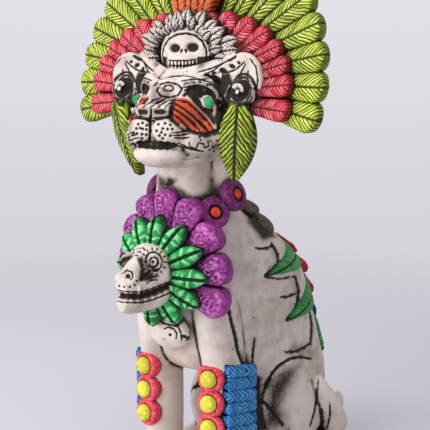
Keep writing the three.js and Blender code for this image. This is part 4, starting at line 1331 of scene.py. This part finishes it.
back_leaves = []
for root_z, root_turn, tip_z, tip_turn, high in BACK_LEAVES:
    for side in (LEFT, RIGHT):
        length = abs(root_turn - tip_turn) * 0.9

        def place(a, b, h, side=side):
            share = b / length
            z = root_z + (tip_z - root_z) * share + a
            degrees = root_turn + (tip_turn - root_turn) * share
            return torso_point(z, degrees, h + 0.5) * np.array([side, 1, 1])

        def leaf_half(t):
            return high * 0.5 * np.clip(1 - t**1.3, 0.02, 1)

        back_leaves.append(plume(place, length, leaf_half, swell=3.2, back=4, quill=1.3, columns=33, rows=60,
                                 seed=root_z * 0.1, edge=0.2))
leaf_finish = painted_clay("back_leaf_paint", linear(14, 120, 44), linear(34, 160, 62),
                           linear(120, 210, 110),
                           dark=linear(6, 30, 12), barbs=(2.4, 1.2, 0.5, 0.9), quill=1.1, dry=0.7)
make_piece("back_leaves", back_leaves, leaf_finish)

SCALE_BACK, RED_SCALES = 5, 3
red_scales, blue_scales = [], []
for i, (top, low, spread, lifts, rim) in enumerate(BACK_SCALES):
    length = top - low

    def place(a, b, h):
        lift = np.interp(b / length, (0, 0.5, 1), lifts) * (1 - (1 - rim) * (a / spread) ** 2)
        return torso_point(top - b, 90 + a, h + np.where(h > -SCALE_BACK * 0.9, lift, 0))

    red = i < RED_SCALES
    edge, sides = (0.25, 0.15) if red else (0.8, 0.6)
    scale = plume(place, length, round_tip(spread * 0.9, spread, length, 0.35), swell=2.0, back=SCALE_BACK,
                  quill=1.5, columns=41, rows=44, seed=i * 0.7, edge=edge, sides=sides)
    (red_scales if red else blue_scales).append(scale)
make_piece("back_scales_red", red_scales, red_finish)
make_piece("back_scales_blue", blue_scales, blue_finish)

# Two thick lobes sit on the shoulders over the scales, darkened all over with wash and painted shade,
# and blue on their backs. They are plain rounded lumps of clay, joined into one.
lobes = Clay([
    egg((0, -7, 186), (27, 14, 8.5), (-14, 0, 0)),
    egg((0, 9, 171.5), (27, 20, 12), (-24, 0, 0)),
], 0.8, 3)
# painted shade with the wash: the lobes are darkened all over and finished in the darker clay tone
lobes.wash_and_shade += 0.58
lobes.settle()
lobes.blue = np.clip((lobes.normals[:, 1] - 0.22) / 0.12, 0, 1)
lobe_shade_finish = bare_clay("lobe_clay_painted_shade", CLAY_SHADE, CLAY_SHADE, glazes=[
    ("blue", linear(12, 76, 136), linear(26, 122, 190)),
])
make_piece("back_lobes", [lobes.part("blue")], lobe_shade_finish)

# The skull on the forehead sits in a dotted band, with two rows of small bare clay feathers that
# fan out behind it over the straps.
skull = Clay([
    egg((0, -49.5, 292), (16.5, 9, 14)),
    egg((0, -53.5, 283.5), (12, 8, 8)),
    egg((0, -48.5, 290.5), (21, 8.5, 19.5)),
    egg((0, -42, 299), (26, 7, 18)),
    egg((0, -54.5, 288), (3.4, 3, 4)),
], 0.5, 2)
DOME = [
    (163, 66), (161.5, 56), (163.5, 46), (168.5, 38.5), (177, 34),
    (186, 33), (195, 35), (202.5, 41), (206.5, 50), (207, 60),
]
skull.cut(DOME, 1.8, 1.4, both=False)
BAND_DOTS = [
    (158.5, 60), (158.5, 53), (159.5, 46), (163, 39.5), (168, 34), (174.5, 30), (182, 28),
    (190, 28.5), (197.5, 31), (204, 36), (208.5, 42.5), (210.5, 50), (211, 57),
]
for x, y in BAND_DOTS:
    skull.dot((x, y), 1.35, 0.8, both=False)
SKULL_EYES = [
    # place, radius, depth and flatness
    ((173.5, 48), 5.2, 3.0, 0.85),
    ((192, 47), 6.0, 3.2, 0.8),
]
for middle, radius, depth, flat in SKULL_EYES:
    skull.dot(middle, radius, depth, both=False, flat=flat)
SKULL_LINES = [
    # the two slits of the nose
    ([(180.5, 52.5), (181.5, 49.5)], 2.4, 1.4),
    ([(186, 52.5), (185, 49.5)], 2.4, 1.4),
    # the edges of the teeth, the line between the rows and the jaw
    ([(168, 60), (175, 60.5), (186, 60.5), (196, 59.5)], 1.5, 0.8),
    ([(168, 65.5), (175, 66), (186, 66), (196, 64.5)], 1.6, 0.9),
    ([(168, 71.5), (176, 72.5), (188, 72), (196, 70.5)], 2.2, 1.2),
]
for path, width, depth in SKULL_LINES:
    skull.cut(path, width, depth, both=False)
for x in np.linspace(169.5, 195, 8):
    skull.cut([(x, 60.5), (x + 0.3, 71)], 1.5, 1.0, both=False)
SKULL_SIDES = [[(158, 56), (167, 57), (168, 73), (158, 72)], [(197, 57), (212, 56), (210, 73), (197, 73)]]
for outline in SKULL_SIDES:
    skull.cloud_of_wash_and_shade(outline, 1.0, both=False, soft=4)
outside = np.hypot(skull.points[:, 0] / 22, (skull.points[:, 2] - 290.5) / 20.5)
skull.wash_and_shade = np.maximum(skull.wash_and_shade, np.clip((outside - 0.98) * 12, 0, 1))
skull.settle(1.2, 10)
make_piece("skull", [skull.part()], clay_finish)

CREST_ROWS = [
    # count, half width of the row, height of the row, distance forward, half width and root share
    (14, 43, 30.5, 0, 4.2, 0.62),
    (13, 34, 26.5, 2.5, 3.5, 0.70),
]
uneven = np.random.default_rng(7)
crest = []
for row, (count, wide, high, forward, half, root) in enumerate(CREST_ROWS):
    for i in range(count):
        turn = math.radians(-10 + 200 * (i + 0.5) / count + uneven.uniform(-3.5, 3.5))
        reach = uneven.uniform(0.9, 1.03)
        middle = np.array([0, -48 - forward, 288])
        sweep = -4 + 5 * abs(math.cos(turn))
        end = middle + np.array([wide * math.cos(turn), sweep, high * math.sin(turn)]) * reach
        start = middle + (end - middle) * root
        end[1] += uneven.uniform(-2.5, 0.5)
        place, length = along_line(start, end, (0.15 * math.cos(turn), -1, 0.1), bow=1.6)
        crest.append(plume(place, length, pointed_tip(half, 0.55), swell=2.6, back=3, groove=1.1, quill=1.0,
                           columns=17, rows=26, seed=i * 0.3 + row, edge=1.0, shade=0.6))
crest_finish = painted_clay("crest_clay", CLAY_SHADE, CLAY_PALE, linear(236, 228, 220),
                            dark=linear(32, 24, 19),
                            barbs=(2.3, 1.0, 0.45, 0.6), quill=0.7, dry=0.7)
make_piece("crest_feathers", crest, crest_finish)

# The figure stands on a plain pale floor that fades into a glowing studio backdrop, with light painted on it
# brighter towards its top, and is lit by a large soft lamp in front of its right shoulder and a weak one
# above. These sizes are in metres.
FLOOR_SIZE, BACKDROP_SIZE, BACKDROP_AWAY = 1.2, 4.0, 2.4
FLOOR_FADE = (0.30, 0.95)
FLOOR_COLOUR = linear(218, 215, 221)
BACKDROP_DIM_GLOW, BACKDROP_BRIGHT_GLOW = linear(211, 209, 215), linear(229, 228, 235)
WORLD_COLOUR, WORLD_STRENGTH = linear(222, 222, 230), 0.68


def stage_sheet(name, corners, finish):
    mesh = bpy.data.meshes.new(name)
    mesh.from_pydata(corners, [], [(0, 1, 2, 3)])
    mesh.materials.append(finish.material)
    sheet = bpy.data.objects.new(name, mesh)
    bpy.context.scene.collection.objects.link(sheet)


floor_finish = Finish("floor")
floor_finish.set("Base Color", (*FLOOR_COLOUR, 1))
floor_finish.set("Roughness", 0.9)
from_middle = floor_finish.add("ShaderNodeVectorMath", {"operation": "LENGTH"}, [floor_finish.place],
                               out="Value")
floor_finish.set("Alpha", 1 - from_middle.steep(*FLOOR_FADE))
floor_corners = [(x * FLOOR_SIZE, y * FLOOR_SIZE, 0) for x, y in ((-1, -1), (1, -1), (1, 1), (-1, 1))]
stage_sheet("floor", floor_corners, floor_finish)

backdrop_finish = Finish("backdrop")
backdrop_finish.set("Base Color", (0, 0, 0, 1))
backdrop_finish.set("Specular IOR Level", 0.0)
backdrop_finish.set("Emission Strength", 1.0)
height = backdrop_finish.add("ShaderNodeSeparateXYZ", {}, [backdrop_finish.place], out="Z")
# painted light: the backdrop glows brighter towards its top
backdrop_finish.set("Emission Color", backdrop_finish.mix(
    (height + 0.55).steep(0.0, 1.3), BACKDROP_DIM_GLOW, BACKDROP_BRIGHT_GLOW))
behind = -TO_CAMERA * BACKDROP_AWAY
across = unit(np.cross(TO_CAMERA, [0, 0, 1])) * BACKDROP_SIZE / 2
upward = np.array([0, 0, BACKDROP_SIZE / 2])
stage_sheet("backdrop", [
    behind - across - upward, behind + across - upward, behind + across + upward, behind - across + upward,
], backdrop_finish)


def lamp(name, place, size, power):
    target = Vector(CAMERA_TARGET * MM)
    light = bpy.data.lights.new(name, "AREA")
    light.size = size
    light.energy = power
    lamp_object = bpy.data.objects.new(name, light)
    lamp_object.location = place
    lamp_object.rotation_euler = (target - Vector(place)).to_track_quat("-Z", "Y").to_euler()
    bpy.context.scene.collection.objects.link(lamp_object)


lamp("key", (-0.4, -1.5, 0.7), 1.6, 27)
lamp("top", (0.1, -0.3, 1.6), 1.0, 6)

world = bpy.data.worlds.new("studio")
world.use_nodes = True
sky = world.node_tree.nodes["Background"]
sky.inputs["Color"].default_value = (*WORLD_COLOUR, 1)
sky.inputs["Strength"].default_value = WORLD_STRENGTH
bpy.context.scene.world = world

camera_data = bpy.data.cameras.new("camera")
camera_data.lens = CAMERA_LENS
camera_data.sensor_width = SENSOR_WIDTH
camera = bpy.data.objects.new("camera", camera_data)
camera.location = CAMERA * MM
camera.rotation_euler = Vector(-TO_CAMERA).to_track_quat("-Z", "Y").to_euler()
bpy.context.scene.collection.objects.link(camera)
bpy.context.scene.camera = camera
bpy.context.scene.view_settings.view_transform = "Standard"
